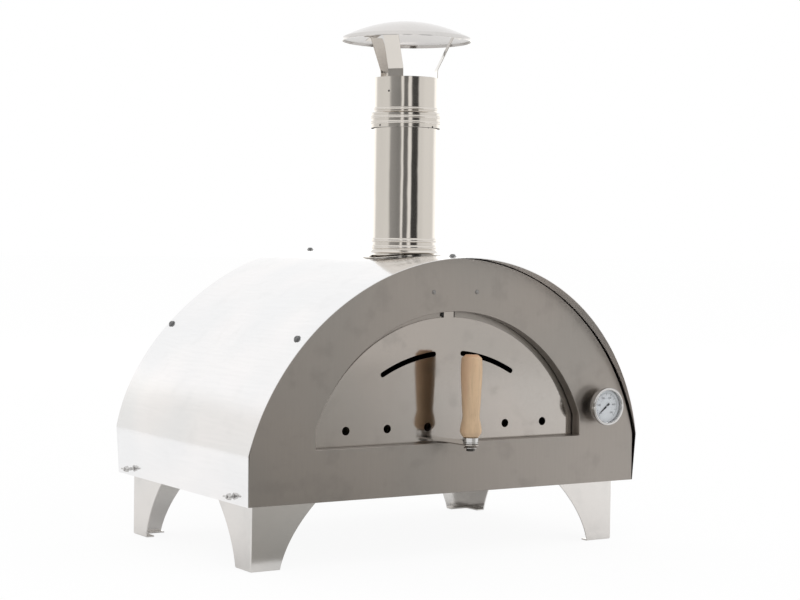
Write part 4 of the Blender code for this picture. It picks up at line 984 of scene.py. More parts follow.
class OVEN_OT_door(bpy.types.Operator):
    """Cuts the door with its tab, joins its tongue and lug, and cuts the arc slots, vents and bolt hole"""
    bl_idname = "oven.door"
    bl_label = "Door"

    def execute(self, context):
        sizes = context.scene.oven_sizes
        door_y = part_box("chamber_front")[0].y - FACE - 0.0003 - sizes.door_sheet
        foot = DOOR_LOW.z - FOOT
        mouth = mouth_arch(sizes)
        door = mouth.grown(-sizes.door_gap, foot)
        tab_top = mouth.apex - 0.0003
        points = [(-door.half_width, foot), *door.arc(120), (door.half_width, foot)]
        left = [point for point in points if point[0] < -TAB_HALF_WIDTH]
        right = [point for point in points if point[0] > TAB_HALF_WIDTH]
        root = door.height_at(TAB_HALF_WIDTH)
        tab = [(-TAB_HALF_WIDTH, root), (-TAB_HALF_WIDTH, tab_top), (TAB_HALF_WIDTH, tab_top), (TAB_HALF_WIDTH, root)]
        outline = [at(x, door_y, h) for x, h in left + tab + right]
        piece = sheet_from("door", outline, (0, sizes.door_sheet, 0))
        back = door_y + sizes.door_sheet
        tongue = [at(x, y, foot) for x, y in tongue_outline(back)]
        boolean(piece, sheet_from("tongue", tongue, (0, 0, sizes.door_sheet)), "UNION")
        lug = [(-0.007, door.apex), (-0.007, door.apex + 0.004), (0.007, door.apex + 0.004), (0.007, door.apex)]
        lug = sheet_from("lug", [at(x, door_y, h) for x, h in lug], (0, sizes.door_sheet + 0.006, 0))
        boolean(piece, lug, "UNION")
        for side in (-1, 1):
            slot = [at(x, door_y - 0.005, h) for x, h in slot_outline(side, foot)]
            boolean(piece, sheet_from("slot", slot, (0, 0.012, 0)))
            for x in VENT_PLACES:
                vent = rod(0.0065, at(side * x, door_y - 0.005, VENT_HEIGHT), at(side * x, back + 0.005, VENT_HEIGHT))
                boolean(piece, vent)
        axis = HANDLE_AXIS.y - FACE
        boolean(piece, rod(0.0033, at(0, axis, foot - 0.01), at(0, axis, foot + 0.01), 32))
        round_edges(piece, 0.00025, 2, 40)
        finish = steel("door_sheet", context.scene.oven_finishes.door, 0.07, 0.0004, 0.35)
        finished(piece, finish, "door", ["door_plate"], 32, True)
        return {"FINISHED"}


class OVEN_OT_handle(bpy.types.Operator):
    """Turns the wooden handle, its ferrule and washer, and the bolt under the tongue"""
    bl_idname = "oven.handle"
    bl_label = "Handle"

    def execute(self, context):
        finishes = context.scene.oven_finishes
        middle = (HANDLE_AXIS.x, HANDLE_AXIS.y, 0)
        radius, height = HANDLE_HIGH.x, HANDLE_HIGH.z - HANDLE_LOW.z
        shares = HANDLE_PROFILE_SHARES
        outer = curve_through([(r * radius, HANDLE_LOW.z + h * height) for h, r in shares[:-2]], 5)
        outer = [(min(r, radius), z) for r, z in outer]
        outer += [(r * radius, HANDLE_LOW.z + h * height) for h, r in shares[-2:]]
        hole, depth = 0.0033, 0.0403
        bottom = [(hole, HANDLE_LOW.z), (hole, HANDLE_LOW.z + depth), (0, HANDLE_LOW.z + depth)]
        piece = turned("handle", [(0, HANDLE_HIGH.z), *reversed(outer), *bottom], middle, steps=96)
        finished(piece, beech("turned_beech", finishes.wood), "door", ["wooden_handle"], 34)
        bright = shared("bright_chrome", chrome)
        low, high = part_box("handle_ferrule")
        rim, bevel = high.x, 0.0012
        ferrule = [
            (hole, high.z), (rim - 0.002, high.z), (rim - 0.0006, high.z - 0.0006), (rim, high.z - bevel),
            (rim, low.z + 0.0036), (rim - 0.0009, low.z + 0.0030), (rim - 0.0009, low.z + 0.0024),
            (rim, low.z + 0.0018), (rim, low.z + 0.0008), (rim - 0.0008, low.z), (hole, low.z), (hole, high.z)]
        piece = turned("ferrule", ferrule, middle, steps=80)
        finished(piece, bright, "door", ["handle_ferrule"], 34)
        low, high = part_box("handle_washer")
        rim = high.x
        washer = [
            (hole, high.z), (rim * 0.62, high.z), (rim * 0.74, high.z - 0.0007), (rim * 0.86, low.z + 0.0016),
            (rim - 0.0004, low.z + 0.0012), (rim, low.z + 0.0007), (rim, low.z + 0.0003), (rim - 0.0003, low.z),
            (hole, low.z), (hole, high.z)]
        piece = turned("washer", washer, middle, steps=80)
        finished(piece, bright, "door", ["handle_washer"], 34)
        self.make_bolt(middle)
        return {"FINISHED"}

    def make_bolt(self, middle):
        low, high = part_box("handle_bolt")
        head, shank = high.x, 0.003
        under = low.z + 0.0043
        profile = [(0, high.z), (shank, high.z), (shank, under), (0, under)]
        piece = turned("bolt", profile, middle, steps=40)
        bpy.ops.object.select_all(action="DESELECT")
        bpy.ops.mesh.primitive_cylinder_add(
            vertices=6, radius=head, depth=under - low.z, location=(middle[0], middle[1], (under + low.z) / 2))
        hexagon = bpy.context.object
        bpy.ops.object.transform_apply(location=True, rotation=True, scale=True)
        round_edges(hexagon, 0.0005, 3)
        join([piece, hexagon])
        finished(piece, plain("dark_bolt", (0.09, 0.085, 0.08), 0.38, 1.0), "door", ["handle_bolt"])


class OVEN_OT_thermometer(bpy.types.Operator):
    """Turns the thermometer's case, bezel and glass, prints its dial and cuts its needle"""
    bl_idname = "oven.thermometer"
    bl_label = "Thermometer"

    def execute(self, context):
        middle = (GAUGE_AXIS.x, FACE, GAUGE_AXIS.z)
        bright = shared("bright_chrome", chrome)
        reach = FACE - BEZEL_LOW.y
        rim = BEZEL_HIGH.x - GAUGE_AXIS.x
        case_low, case_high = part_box("thermometer_case")
        case_rim, case_front = case_high.x - GAUGE_AXIS.x, FACE - case_low.y
        case_back = case_front - 0.013
        wall = case_rim - 0.001
        dial_back = FACE - DIAL_HIGH.y
        case = [
            (wall, case_front), (case_rim, case_front), (case_rim, case_back + 0.003),
            (case_rim - 0.0009, case_back + 0.0009), (case_rim - 0.003, case_back), (0.011, case_back),
            (0.0095, case_back - 0.0006), (0.009, case_back - 0.0018), (0.009, 0.0003), (0.0033, 0.0003),
            (0.0033, dial_back - 0.0003), (wall, dial_back - 0.0003), (wall, case_front)]
        piece = turned("gauge_case", case, middle, "Y")
        finished(piece, bright, "oven", ["thermometer_case"])
        lip = case_rim - 0.0017
        back = FACE - BEZEL_HIGH.y
        bezel = [(lip, case_front + 0.0003), (lip, reach - 0.0016), (lip + 0.0003, reach - 0.0007),
                 (lip + 0.0010, reach - 0.0001), (rim - 0.0021, reach), (rim - 0.0010, reach - 0.0003),
                 (rim - 0.0003, reach - 0.0010), (rim, reach - 0.0021), (rim, back + 0.0008),
                 (rim - 0.0008, back), (case_rim + 0.0003, back), (case_rim + 0.0003, case_front + 0.0003),
                 (lip, case_front + 0.0003)]
        piece = turned("gauge_bezel", bezel, middle, "Y", 128)
        finished(piece, bright, "oven", ["thermometer_bezel"])
        low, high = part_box("thermometer_glass")
        pane, front, rear = high.x - GAUGE_AXIS.x, FACE - low.y, FACE - high.y
        glass = [(0, front), (pane - 0.0003, front), (pane, front - 0.0003), (pane, rear), (0, rear)]
        piece = turned("gauge_glass", glass, middle, "Y")
        finished(piece, clear_glass("clear_pane"), "oven", ["thermometer_glass"])
        dress(dial_card("printed_dial"), "thermometer_dial")
        self.make_numbers()
        self.make_needle(middle)
        return {"FINISHED"}

    def make_numbers(self):
        """Small figures round the dial, laid just over its card."""
        figures = []
        for number in range(6):
            turn = math.radians(-135 + 54 * number)
            bpy.ops.object.select_all(action="DESELECT")
            bpy.ops.object.text_add()
            figure = bpy.context.object
            figure.data.body = str(number * 100)
            figure.data.size = 0.0042
            figure.data.extrude = 0.00004
            figure.data.align_x, figure.data.align_y = "CENTER", "CENTER"
            bpy.ops.object.convert(target="MESH")
            figure.rotation_euler = (math.pi / 2, 0, 0)
            reach = 0.0146
            figure.location = (
                GAUGE_AXIS.x + reach * math.sin(turn), DIAL_LOW.y - 0.00006, GAUGE_AXIS.z + reach * math.cos(turn))
            bpy.ops.object.transform_apply(location=True, rotation=True, scale=True)
            figures.append(figure)
        piece = join(figures)
        piece.name = piece.data.name = "dial_figures"
        finished(piece, plain("dial_ink", (0.09, 0.09, 0.10), 0.6), "oven", [])

    def make_needle(self, middle):
        """The pointer, its tail block and its pale hub, turned to where they rest."""
        low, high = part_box("thermometer_needle")
        top = FACE - low.y
        foot = DIAL_LOW.y - 0.0003
        blade_y = foot - 0.0006
        tail, tip = 0.0070, 0.019
        outline = [(-0.0016, -tail), (-0.0016, -0.0022), (-0.0006, -0.0014), (-0.0014, 0.0024), (-0.0003, tip),
                   (0.0003, tip), (0.0014, 0.0024), (0.0006, -0.0014), (0.0016, -0.0022), (0.0016, -tail)]
        turn = math.radians(-128)
        places = []
        for u, v in outline:
            x, z = u * math.cos(turn) + v * math.sin(turn), v * math.cos(turn) - u * math.sin(turn)
            places.append(Vector((middle[0] + x, blade_y, middle[2] + z)))
        piece = sheet_from("needle", places, (0, -0.0006, 0))
        round_edges(piece, 0.0001, 1)
        black = plain("matt_black", (0.018, 0.018, 0.02), 0.45)
        finished(piece, black, "needle", ["thermometer_needle"])
        hub = [(0, top), (0.0009, top), (0.0013, top - 0.0003), (0.0015, top - 0.0008), (0.0015, FACE - foot),
               (0, FACE - foot)]
        piece = turned("needle_hub", hub, middle, "Y", 40)
        pale = plain("hub_metal", (0.45, 0.45, 0.47), 0.3, 1.0)
        finished(piece, pale, "needle", [])


class OVEN_OT_flue(bpy.types.Operator):
    """Forms the collar's saddle on the vault and turns the flue pipe with its flare and beads"""
    bl_idname = "oven.flue"
    bl_label = "Flue"

    def execute(self, context):
        sizes, finishes = context.scene.oven_sizes, context.scene.oven_finishes
        polished = shared("rolled_steel", pipe_steel, finishes.flue, 0.09, 0.0012)
        spigot = PIPE_HIGH.x
        self.make_collar(sizes, polished)
        middle = (FLUE_AXIS.x, FLUE_AXIS.y, 0)
        foot, top, flare = PIPE_LOW.z, PIPE_HIGH.z, PIPE_HIGH.x
        outer = [(PIPE_RADIUS - 0.0002, top), (PIPE_RADIUS, top - 0.0003)]
        for bead in (0.020, 0.009):
            outer += ridge(PIPE_RADIUS, 0.0016, foot + bead, 0.0032)
        for step in range(9):
            share = step / 8
            outer.append((PIPE_RADIUS + (flare - PIPE_RADIUS) * share ** 2, foot + 0.006 * (1 - share)))
        sheet = sizes.flue_sheet
        inner = [(flare - sheet, foot), (PIPE_RADIUS - sheet, foot + 0.006), (PIPE_RADIUS - sheet, top)]
        piece = turned("pipe", [*outer, *inner, outer[0]], middle, steps=128)
        finished(piece, polished, "pipe", ["flue_pipe"])
        return {"FINISHED"}

    def make_collar(self, sizes, polished):
        """A flange that follows the vault, turned up into the spigot inside the pipe."""
        inner = PIPE_RADIUS - sizes.flue_sheet - 0.0006
        rim = COLLAR_HIGH.x
        lift = 0.0006 + 0.001
        rings = [saddle_ring(sizes, rim, lift), saddle_ring(sizes, inner, lift), level_ring(inner, COLLAR_HIGH.z)]
        piece = first_point("collar", rings[0][0])
        draw_on([*rings[0], rings[0][0]])
        for ring in rings[1:]:
            add_point(ring[0])
            draw_on([*ring, ring[0]])
        merge_all()
        for near, far in ((0, 1), (1, 2)):
            spots = {rounded(place) for ring in (rings[near], rings[far]) for place in ring}
            pick(lambda place, normal: rounded(place) in spots)
            bpy.ops.mesh.select_mode(type="EDGE")
            bm = bmesh.from_edit_mesh(piece.data)
            for edge in bm.edges:
                edge.select_set(edge.verts[0].select and edge.verts[1].select and not edge.link_faces[1:])
            bmesh.update_edit_mesh(piece.data)
            bpy.ops.mesh.bridge_edge_loops()
        merge_all()
        face_out()
        bm = bmesh.from_edit_mesh(piece.data)
        lean = sum(face.normal.z for face in bm.faces)
        if lean < 0:
            bpy.ops.mesh.select_all(action="SELECT")
            bpy.ops.mesh.flip_normals()
        round_bends(piece, 0.0015)
        out_of_edit()
        apply_modifier(piece, "SOLIDIFY", thickness=0.001, offset=-1, use_even_offset=True)
        low = COLLAR_LOW.z
        under = min(place.z for place in rings[1]) - 0.004
        tube = [(inner, under), (inner, low), (inner - 0.001, low), (inner - 0.001, under), (inner, under)]
        lower = turned("spigot", tube, (FLUE_AXIS.x, FLUE_AXIS.y, 0), steps=96)
        join([piece, lower])
        finished(piece, polished, "oven", ["flue_collar"])


class OVEN_OT_cowl(bpy.types.Operator):
    """Turns the cowl's sleeve and cap, bends its three straps and sets its rivets"""
    bl_idname = "oven.cowl"
    bl_label = "Cowl"

    def execute(self, context):
        sizes = context.scene.oven_sizes
        polished = shared("rolled_steel", pipe_steel, context.scene.oven_finishes.flue, 0.09, 0.0012)
        middle = (FLUE_AXIS.x, FLUE_AXIS.y, 0)
        sheet = sizes.flue_sheet
        top, foot = SLEEVE_HIGH.z, SLEEVE_LOW.z
        shoulder = PIPE_HIGH.z + 0.0003 + sheet
        wide = PIPE_RADIUS + SKIRT_STEP
        outer = [(PIPE_RADIUS - 0.0002, top), (PIPE_RADIUS, top - 0.0003)]
        outer += ridge(PIPE_RADIUS, 0.0012, shoulder + 0.0044, 0.0022)
        outer += [(PIPE_RADIUS, shoulder), (PIPE_RADIUS + 0.0012, shoulder - 0.0002), (wide - 0.0008, shoulder - 0.0016),
                  (wide, shoulder - 0.0026)]
        for number in (1, 2):
            outer += ridge(wide, 0.0012, shoulder - number * 0.0085, 0.0022)
        outer += [(wide, foot + 0.0003), (wide - 0.0002, foot)]
        inner = [(wide - sheet, foot), (wide - sheet, shoulder - 0.0032), (PIPE_RADIUS, shoulder - sheet),
                 (PIPE_RADIUS - sheet, shoulder - sheet), (PIPE_RADIUS - sheet, top)]
        piece = turned("sleeve", [*outer, *inner, outer[0]], middle, steps=128)
        finished(piece, polished, "cowl", ["cowl_sleeve"])
        self.make_cap(sizes, middle)
        for number, angle in enumerate(STRAP_ANGLES, 1):
            self.make_strap(number, math.radians(angle), polished)
        self.make_rivets()
        return {"FINISHED"}

    def make_cap(self, sizes, middle):
        """A shallow dome with its edge turned down."""
        rim_radius, sheet = CAP_HIGH.x, sizes.flue_sheet
        rim = CAP_LOW.z + 0.0055
        rise = CAP_HIGH.z - rim

        def dome(radius):
            return rim + rise * (1 - (radius / rim_radius) ** 2)

        radii = [rim_radius * step / 28 for step in range(28)]
        outer = [(radius, dome(radius)) for radius in radii]
        outer += [(rim_radius - 0.0012, dome(rim_radius - 0.0012)), (rim_radius - 0.0003, rim - 0.0003),
                  (rim_radius, rim - 0.0010), (rim_radius, CAP_LOW.z)]
        inner = [(rim_radius - sheet, CAP_LOW.z), (rim_radius - sheet, rim - 0.0012)]
        inner += [(radius, dome(radius) - sheet) for radius in reversed(radii)]
        piece = turned("cap", outer + inner, middle, steps=160)
        cap_finish = steel("cap_sheet", (0.68, 0.665, 0.65), 0.08, 0.0008, 0.10)
        finished(piece, cap_finish, "cowl", ["rain_cap"])

    def make_strap(self, number, angle, polished):
        """A flat strap bent out from inside the sleeve to a tab under the cap."""
        half_width, sheet = 0.0125, 0.001
        inside = (PIPE_RADIUS - 0.0008) * 0.99 - 0.0003
        face = math.sqrt(inside ** 2 - half_width ** 2)
        top = SLEEVE_HIGH.z - FOOT
        tab = CAP_LOW.z + 0.0035 - FOOT

        def under(radius):
            share = math.hypot(radius, half_width) * 1.005 / CAP_HIGH.x
            low = int(share * 5) / 5
            high = low + 0.2
            levels = [tab + 0.0277 * (1 - part ** 2) for part in (low, high)]
            return levels[0] + (levels[1] - levels[0]) * (share - low) / 0.2 - 0.0008 - sheet - 0.0003

        path = [(face, top - 0.024), (face, top + 0.010), (face + 0.0004, top + 0.0135)]
        path += [(face + 0.0018, top + 0.0170), (0.0735, under(0.076) - 0.0036), (0.0760, under(0.076) - 0.0009)]
        path += [(0.0785, under(0.0785)), (0.088, under(0.088))]
        outward = Vector((math.cos(angle), math.sin(angle), 0))
        along = Vector((-math.sin(angle), math.cos(angle), 0))
        axis = at(FLUE_AXIS.x, FLUE_AXIS.y - FACE, 0)
        places = [axis + outward * r - along * half_width + Vector((0, 0, h)) for r, h in path]
        piece = first_point(f"strap_{number}", places[0])
        draw_on(places)
        bpy.ops.mesh.select_all(action="SELECT")
        bpy.ops.mesh.extrude_region_move(TRANSFORM_OT_translate={"value": along * half_width * 2})
        merge_all()
        bm = bmesh.from_edit_mesh(piece.data)
        face_out()
        spread = sum(face.normal.dot(outward) * face.calc_area() for face in bm.faces)
        if spread > 0:
            bpy.ops.mesh.select_all(action="SELECT")
            bpy.ops.mesh.flip_normals()
        out_of_edit()
        apply_modifier(piece, "SOLIDIFY", thickness=sheet, offset=-1, use_even_offset=True)
        round_edges(piece, 0.00025, 2, 50)
        finished(piece, polished, "cowl", [f"cowl_strap_{number}"], 34, True)

    def make_rivets(self):
        """Small dark rivet heads that stand on the sleeve."""
        dark = plain("rivet_metal", (0.10, 0.095, 0.09), 0.35, 1.0)
        for number, (angle, height, radius) in enumerate(SLEEVE_RIVETS, 1):
            outward = Vector((math.cos(math.radians(angle)), math.sin(math.radians(angle)), 0))
            place = at(FLUE_AXIS.x, FLUE_AXIS.y - FACE, height) + outward * (radius - 0.0001)
            profile = [(0, 0.0009), (0.0008, 0.00082), (0.0014, 0.0005), (0.0018, 0), (0, 0)]
            piece = turned(f"sleeve_rivet_{number}", profile, (0, 0, 0), steps=24)
            moved(piece, place, outward)
            finished(piece, dark, "cowl", [])


class OVEN_OT_legs(bpy.types.Operator):
    """Folds one leg from a sheet, with its curved edges and turned-in foot, and mirrors it to the other corners"""
    bl_idname = "oven.legs"
    bl_label = "Legs"

    def execute(self, context):
        sizes, finishes = context.scene.oven_sizes, context.scene.oven_finishes
        low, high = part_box("leg_front_right")
        rear_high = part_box("leg_rear_right")[1]
        corner, front = high.x, low.y
        top, flange, tab = high.z, 0.015, 0.045
        curve = []
        for step in range(25):
            share = step / 24
            bend = LEG_LEAN_SHARE * share + (1 - LEG_LEAN_SHARE) * share ** 2
            curve.append((0.048 + 0.063 * bend, FOOT * share))
        outline = [(0, 0), *curve, (tab, FOOT), (tab, top), (0, top)]
        faces = [
            [Vector((corner - u, front, z)) for u, z in outline],
            [Vector((corner, front + u, z)) for u, z in outline],
        ]
        foot = curve[0][0]
        mitre = Vector((corner - flange, front + flange, 0))
        faces.append([faces[0][0], Vector((corner - foot, front, 0)), Vector((corner - foot, front + flange, 0)), mitre])
        faces.append([faces[0][0], Vector((corner, front + foot, 0)), Vector((corner - flange, front + foot, 0)), mitre])
        piece = first_point("leg", faces[0][0])
        for number, places in enumerate(faces):
            if number:
                add_point(places[0])
            draw_on([*places, places[0]])
            bpy.ops.mesh.select_linked()
            bpy.ops.mesh.remove_doubles(threshold=TINY)
            bpy.ops.mesh.edge_face_add()
        merge_all()
        bpy.ops.mesh.dissolve_degenerate(threshold=TINY)
        turn_out(Vector((corner - 0.05, front + 0.05, 0.05)))
        round_bends(piece, 0.0022)
        out_of_edit()
        apply_modifier(piece, "SOLIDIFY", thickness=sizes.leg_sheet, offset=-1, use_even_offset=True)
        stud_y = STUD_ROWS[0]
        boolean(piece, rod(0.0028, at(0.3, stud_y, STUD_HEIGHT), at(0.4, stud_y, STUD_HEIGHT), 24))
        round_edges(piece, 0.0003, 2, 50)
        finish = steel("leg_sheet", finishes.leg, 0.14, 0.0006, 0.18)
        middle_y = (front + rear_high.y) / 2
        mirrored = (("leg_fr_left", -1, 1), ("leg_rr_right", 1, -1), ("leg_rr_left", -1, -1))
        nodes = {"leg": "leg_front_right", "leg_fr_left": "leg_front_left", "leg_rr_right": "leg_rear_right",
                 "leg_rr_left": "leg_rear_left"}
        made = [piece]
        for name, x, y in mirrored:
            made.append(flipped(copy_of(piece, name), x, y, middle_y))
        for leg in made:
            finished(leg, finish, "oven", [nodes[leg.name]], 32, True)
        return {"FINISHED"}


class OVEN_OT_fasteners(bpy.types.Operator):
    """Makes the wing nuts, the vault's screws and the panel's rivets"""
    bl_idname = "oven.fasteners"
    bl_label = "Fasteners"

    def execute(self, context):
        sizes = context.scene.oven_sizes
        bright = shared("bright_chrome", chrome)
        self.make_wing_nuts(bright)
        self.make_screws(sizes, plain("zinc_grey", (0.22, 0.22, 0.22), 0.35, 1.0))
        dome = [(0, 0.0012), (0.0012, 0.00112), (0.0022, 0.0009), (0.0030, 0.0005), (0.0034, 0.0002), (0.0035, 0)]
        profile = [*dome, (0.002, 0), (0.002, -0.0028), (0, -0.0028)]
        worn = plain("rivet_steel", (0.30, 0.29, 0.28), 0.32, 1.0)
        for name, node, x in (("rivet_left", "panel_rivet_left", -1), ("rivet_right", "panel_rivet_right", 1)):
            piece = turned(name, profile, (0, 0, 0), steps=32)
            moved(piece, at(x * RIVET_OFFSET, -0.0003, RIVET_HEIGHT), Vector((0, -1, 0)))
            finished(piece, worn, "oven", [node])
        return {"FINISHED"}

    def make_wing_nuts(self, bright):
        """One nut with two wings, copied to the four studs."""
        hub = [(0.0028, 0.0055), (0.0038, 0.0055), (0.0042, 0.0052), (0.0050, 0.0008), (0.0052, 0.0003),
               (0.0052, 0), (0.0028, 0), (0.0028, 0.0055)]
        nut = turned("wing_nut", hub, (0, 0, 0), steps=48)
        for way in (-1, 1):
            outline = [(way * u * 0.0105, -0.0011, v * 0.0075) for u, v in curve_through(WING_OUTLINE, 4)]
            wing = sheet_from("wing", outline, (0, 0.0022, 0))
            round_edges(wing, 0.0004, 2, 50)
            boolean(nut, wing, "UNION")
        base = 0.3543 + 0.0003
        for name, side, y in (
            ("front_right", 1, STUD_ROWS[0]), ("front_left", -1, STUD_ROWS[0]),
            ("rear_right", 1, STUD_ROWS[1]), ("rear_left", -1, STUD_ROWS[1])
        ):
            piece = copy_of(nut, f"wing_nut_{name}")
            moved(piece, at(side * base, y, STUD_HEIGHT), Vector((side, 0, 0)))
            finished(piece, bright, "oven", [f"leg_wing_nut_{name}"])
        bpy.data.objects.remove(nut)

    def make_screws(self, sizes, grey):
        """One pan-headed screw with a cross recess and its washer, copied to the six places."""
        top, lift = 0.0044, 0.0003
        profile = [
            (0, top), (0.0020, top - 0.0001), (0.0034, top - 0.0007), (0.0042, top - 0.0018), (0.0045, top - 0.0028),
            (0.0045, lift + 0.0009), (0.0055, lift + 0.0009), (0.0058, lift + 0.0006), (0.0058, lift),
            (0.0019, lift), (0.0019, -0.007), (0, -0.007)]
        screw = turned("screw", profile, (0, 0, 0), steps=40)
        for way in (0, 1):
            arm = (0.0023, 0.0004) if way else (0.0004, 0.0023)
            slot = [(-arm[0], -arm[1], 0.0028), (arm[0], -arm[1], 0.0028), (arm[0], arm[1], 0.0028), (-arm[0], arm[1], 0.0028)]
            boolean(screw, sheet_from("recess", slot, (0, 0, 0.004)))
        for number, (place, outward) in enumerate(screw_places(sizes), 1):
            piece = copy_of(screw, f"screw_{number}")
            moved(piece, place, outward)
            finished(piece, grey, "oven", [f"vault_screw_{number}"])
        bpy.data.objects.remove(screw)


class OVEN_OT_inner_pieces(bpy.types.Operator):
    """Gives their finishes to the pieces whose shape comes from the frame"""
    bl_idname = "oven.inner_pieces"
    bl_label = "Inner pieces"

    def execute(self, context):
        finishes = context.scene.oven_finishes
        inner = steel("plain_sheet", finishes.inside, 0.36, 0.0005, 0.45, (1, 0.06, 1))
        dress(inner, "inner_vault", "chamber_back", "base_tray", "thermometer_stem")
        # The chamber's front plate takes the panel's colour, with its painted reflection, a little lighter.
        dress(steel("plate_sheet", shade(finishes.panel, 1.05), 0.34, 0.0003, 0.3), "chamber_front")
        dress(plain("dark_scale", (0.035, 0.033, 0.032), 0.55, 0.6, 900.0), "door_catch")
        dress(wool("soft_wool", (0.60, 0.56, 0.47)), "insulation_blanket", "rear_insulation")
        dress(refractory("pale_board", (0.70, 0.66, 0.58)), "floor_insulation")
        tiles = [f"floor_tile_{row}_{side}" for row in ("front", "rear") for side in ("left", "right")]
        dress(refractory("baked_stone", finishes.stone), *tiles)
        bright = shared("bright_chrome", chrome)
        studs = [f"leg_stud_{row}_{side}" for row in ("front", "rear") for side in ("left", "right")]
        dress(bright, "thermometer_nut", *studs)
        return {"FINISHED"}


class OVEN_OT_stage(bpy.types.Operator):
    """Sets the floor, the studio's wall and grey card, the soft light and the camera"""
    bl_idname = "oven.stage"
    bl_label = "Stage"

    def execute(self, context):
        self.make_floor()
        self.make_wall()
        self.make_card()
        self.make_world(context.scene)
        self.make_lamps()
        self.make_camera(context.scene)
        context.scene.view_settings.view_transform = "Standard"
        return {"FINISHED"}

    def flat(self, name, low, high, z):
        """A level sheet of the stage."""
        bpy.ops.object.select_all(action="DESELECT")
        bpy.ops.mesh.primitive_plane_add(size=1, location=((low[0] + high[0]) / 2, (low[1] + high[1]) / 2, z))
        piece = bpy.context.object
        piece.name = piece.data.name = name
        piece.scale = (high[0] - low[0], high[1] - low[1], 1)
        bpy.ops.object.transform_apply(location=True, rotation=True, scale=True)
        piece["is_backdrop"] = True
        return piece

    def make_floor(self):
        floor = self.flat("floor", (-40, -40), (40, 40), -0.0004)
        finish = Finish("floor_pale")
        tree = finish.tree
        finish.set(Base_Color=(0.93, 0.93, 0.93), Roughness=0.9)
        finish.shader.inputs["Specular IOR Level"].default_value = 0.0
        path = tree.nodes.new("ShaderNodeLightPath")
        camera, glossy, through = (
            Link(finish, path.outputs[name]) for name in ("Is Camera Ray", "Is Glossy Ray", "Is Transmission Ray"))
        seen = (camera * FLOOR_WHITE + glossy * FLOOR_SHEEN + through * FLOOR_WHITE).clamped()
        glow = tree.nodes.new("ShaderNodeEmission")
        glow.inputs["Color"].default_value = (1, 1, 1, 1)
        glow.inputs["Strength"].default_value = 1.0
        blend = tree.nodes.new("ShaderNodeMixShader")
        finish.feed(blend.inputs[0], seen)
        tree.links.new(finish.shader.outputs[0], blend.inputs[1])
        tree.links.new(glow.outputs[0], blend.inputs[2])
        tree.links.new(blend.outputs[0], tree.nodes["Material Output"].inputs["Surface"])
        floor.data.materials.append(finish.material)

    def make_wall(self):
        """A round studio wall, lit in tall soft panels, which shows only in the metal."""
        bpy.ops.object.select_all(action="DESELECT")
        bpy.ops.mesh.primitive_cylinder_add(
            vertices=128, radius=WALL_RADIUS, depth=WALL_HEIGHT, end_fill_type="NOTHING",
            location=(0, 0, WALL_HEIGHT / 2))
        wall = bpy.context.object
        wall.name = wall.data.name = "studio_wall"
        bpy.ops.object.transform_apply(location=True, rotation=True, scale=True)
        finish = Finish("wall_light")
        tree = finish.tree
        x, y, z = finish.axes(finish.place())
        turn = finish.add("ShaderNodeMath", {"operation": "ARCTAN2"}, x, 0.0 - y)
        share = turn / (2 * math.pi) + 0.5
        stops = []
        for degrees, level in WALL_LEVELS:
            place = ((degrees + CAMERA_TURN + 180) % 360) / 360
            stops.append((place, tuple(part * level / WALL_STRENGTH for part in (1.0, 0.99, 0.97))))
        stops.sort()
        ramp = finish.add("ShaderNodeValToRGB", {"stops": stops}, share)
        high = z.smooth(WALL_FADE[0], WALL_FADE[1])
        above = tuple(WALL_ABOVE / WALL_STRENGTH for part in range(3))
        glow = tree.nodes.new("ShaderNodeEmission")
        finish.feed(glow.inputs["Color"], finish.mix(high, ramp, above))
        glow.inputs["Strength"].default_value = WALL_STRENGTH
        tree.links.new(glow.outputs[0], tree.nodes["Material Output"].inputs["Surface"])
        wall.data.materials.append(finish.material)
        wall.visible_camera = False
        wall.visible_transmission = False
        wall.visible_shadow = False
        wall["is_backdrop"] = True

    def make_card(self):
        """A grey card with soft edges on the floor, before the oven's left half, which shows only in the metal."""
        card = self.flat("grey_card", (-0.5, -9), (7, -0.24), 0.0002)
        finish = Finish("card_grey")
        tree = finish.tree
        finish.set(Base_Color=(0.42, 0.41, 0.39), Roughness=0.9)
        finish.shader.inputs["Specular IOR Level"].default_value = 0.0
        x, y, z = finish.axes(finish.place())
        beyond = (x - CARD_EDGE[0]) * CARD_EDGE[2] + (y - CARD_EDGE[1]) * CARD_EDGE[3]
        far = (y * -1.0).smooth(0.5, 4.0)
        cover = (1.0 - beyond.smooth(-0.35, 0.38)) * (x + 0.5).smooth(0.0, 0.2) * (1.0 - far * 0.35)
        clear = tree.nodes.new("ShaderNodeBsdfTransparent")
        blend = tree.nodes.new("ShaderNodeMixShader")
        finish.feed(blend.inputs[0], cover.clamped())
        tree.links.new(clear.outputs[0], blend.inputs[1])
        tree.links.new(finish.shader.outputs[0], blend.inputs[2])
        tree.links.new(blend.outputs[0], tree.nodes["Material Output"].inputs["Surface"])
        card.data.materials.append(finish.material)
        card.visible_camera = False
        card.visible_diffuse = False
        card.visible_transmission = False
        card.visible_shadow = False

    def make_world(self, scene):
        world = bpy.data.worlds.new("studio")
        scene.world = world
        world.use_nodes = True
        tree = world.node_tree
        tree.nodes.clear()
        output = tree.nodes.new("ShaderNodeOutputWorld")
        background = tree.nodes.new("ShaderNodeBackground")
        background.inputs["Color"].default_value = (1, 1, 1, 1)
        background.inputs["Strength"].default_value = 1.0
        tree.links.new(background.outputs[0], output.inputs[0])

    def make_lamps(self):
        for name, place, size, power in LAMPS:
            bpy.ops.object.light_add(type="AREA", location=place)
            lamp = bpy.context.object
            lamp.name = name
            lamp.data.size = size
            lamp.data.energy = power
            lamp.visible_glossy = False
            lamp.rotation_euler = (Vector((0, 0, 0.35)) - Vector(place)).to_track_quat("-Z", "Y").to_euler()

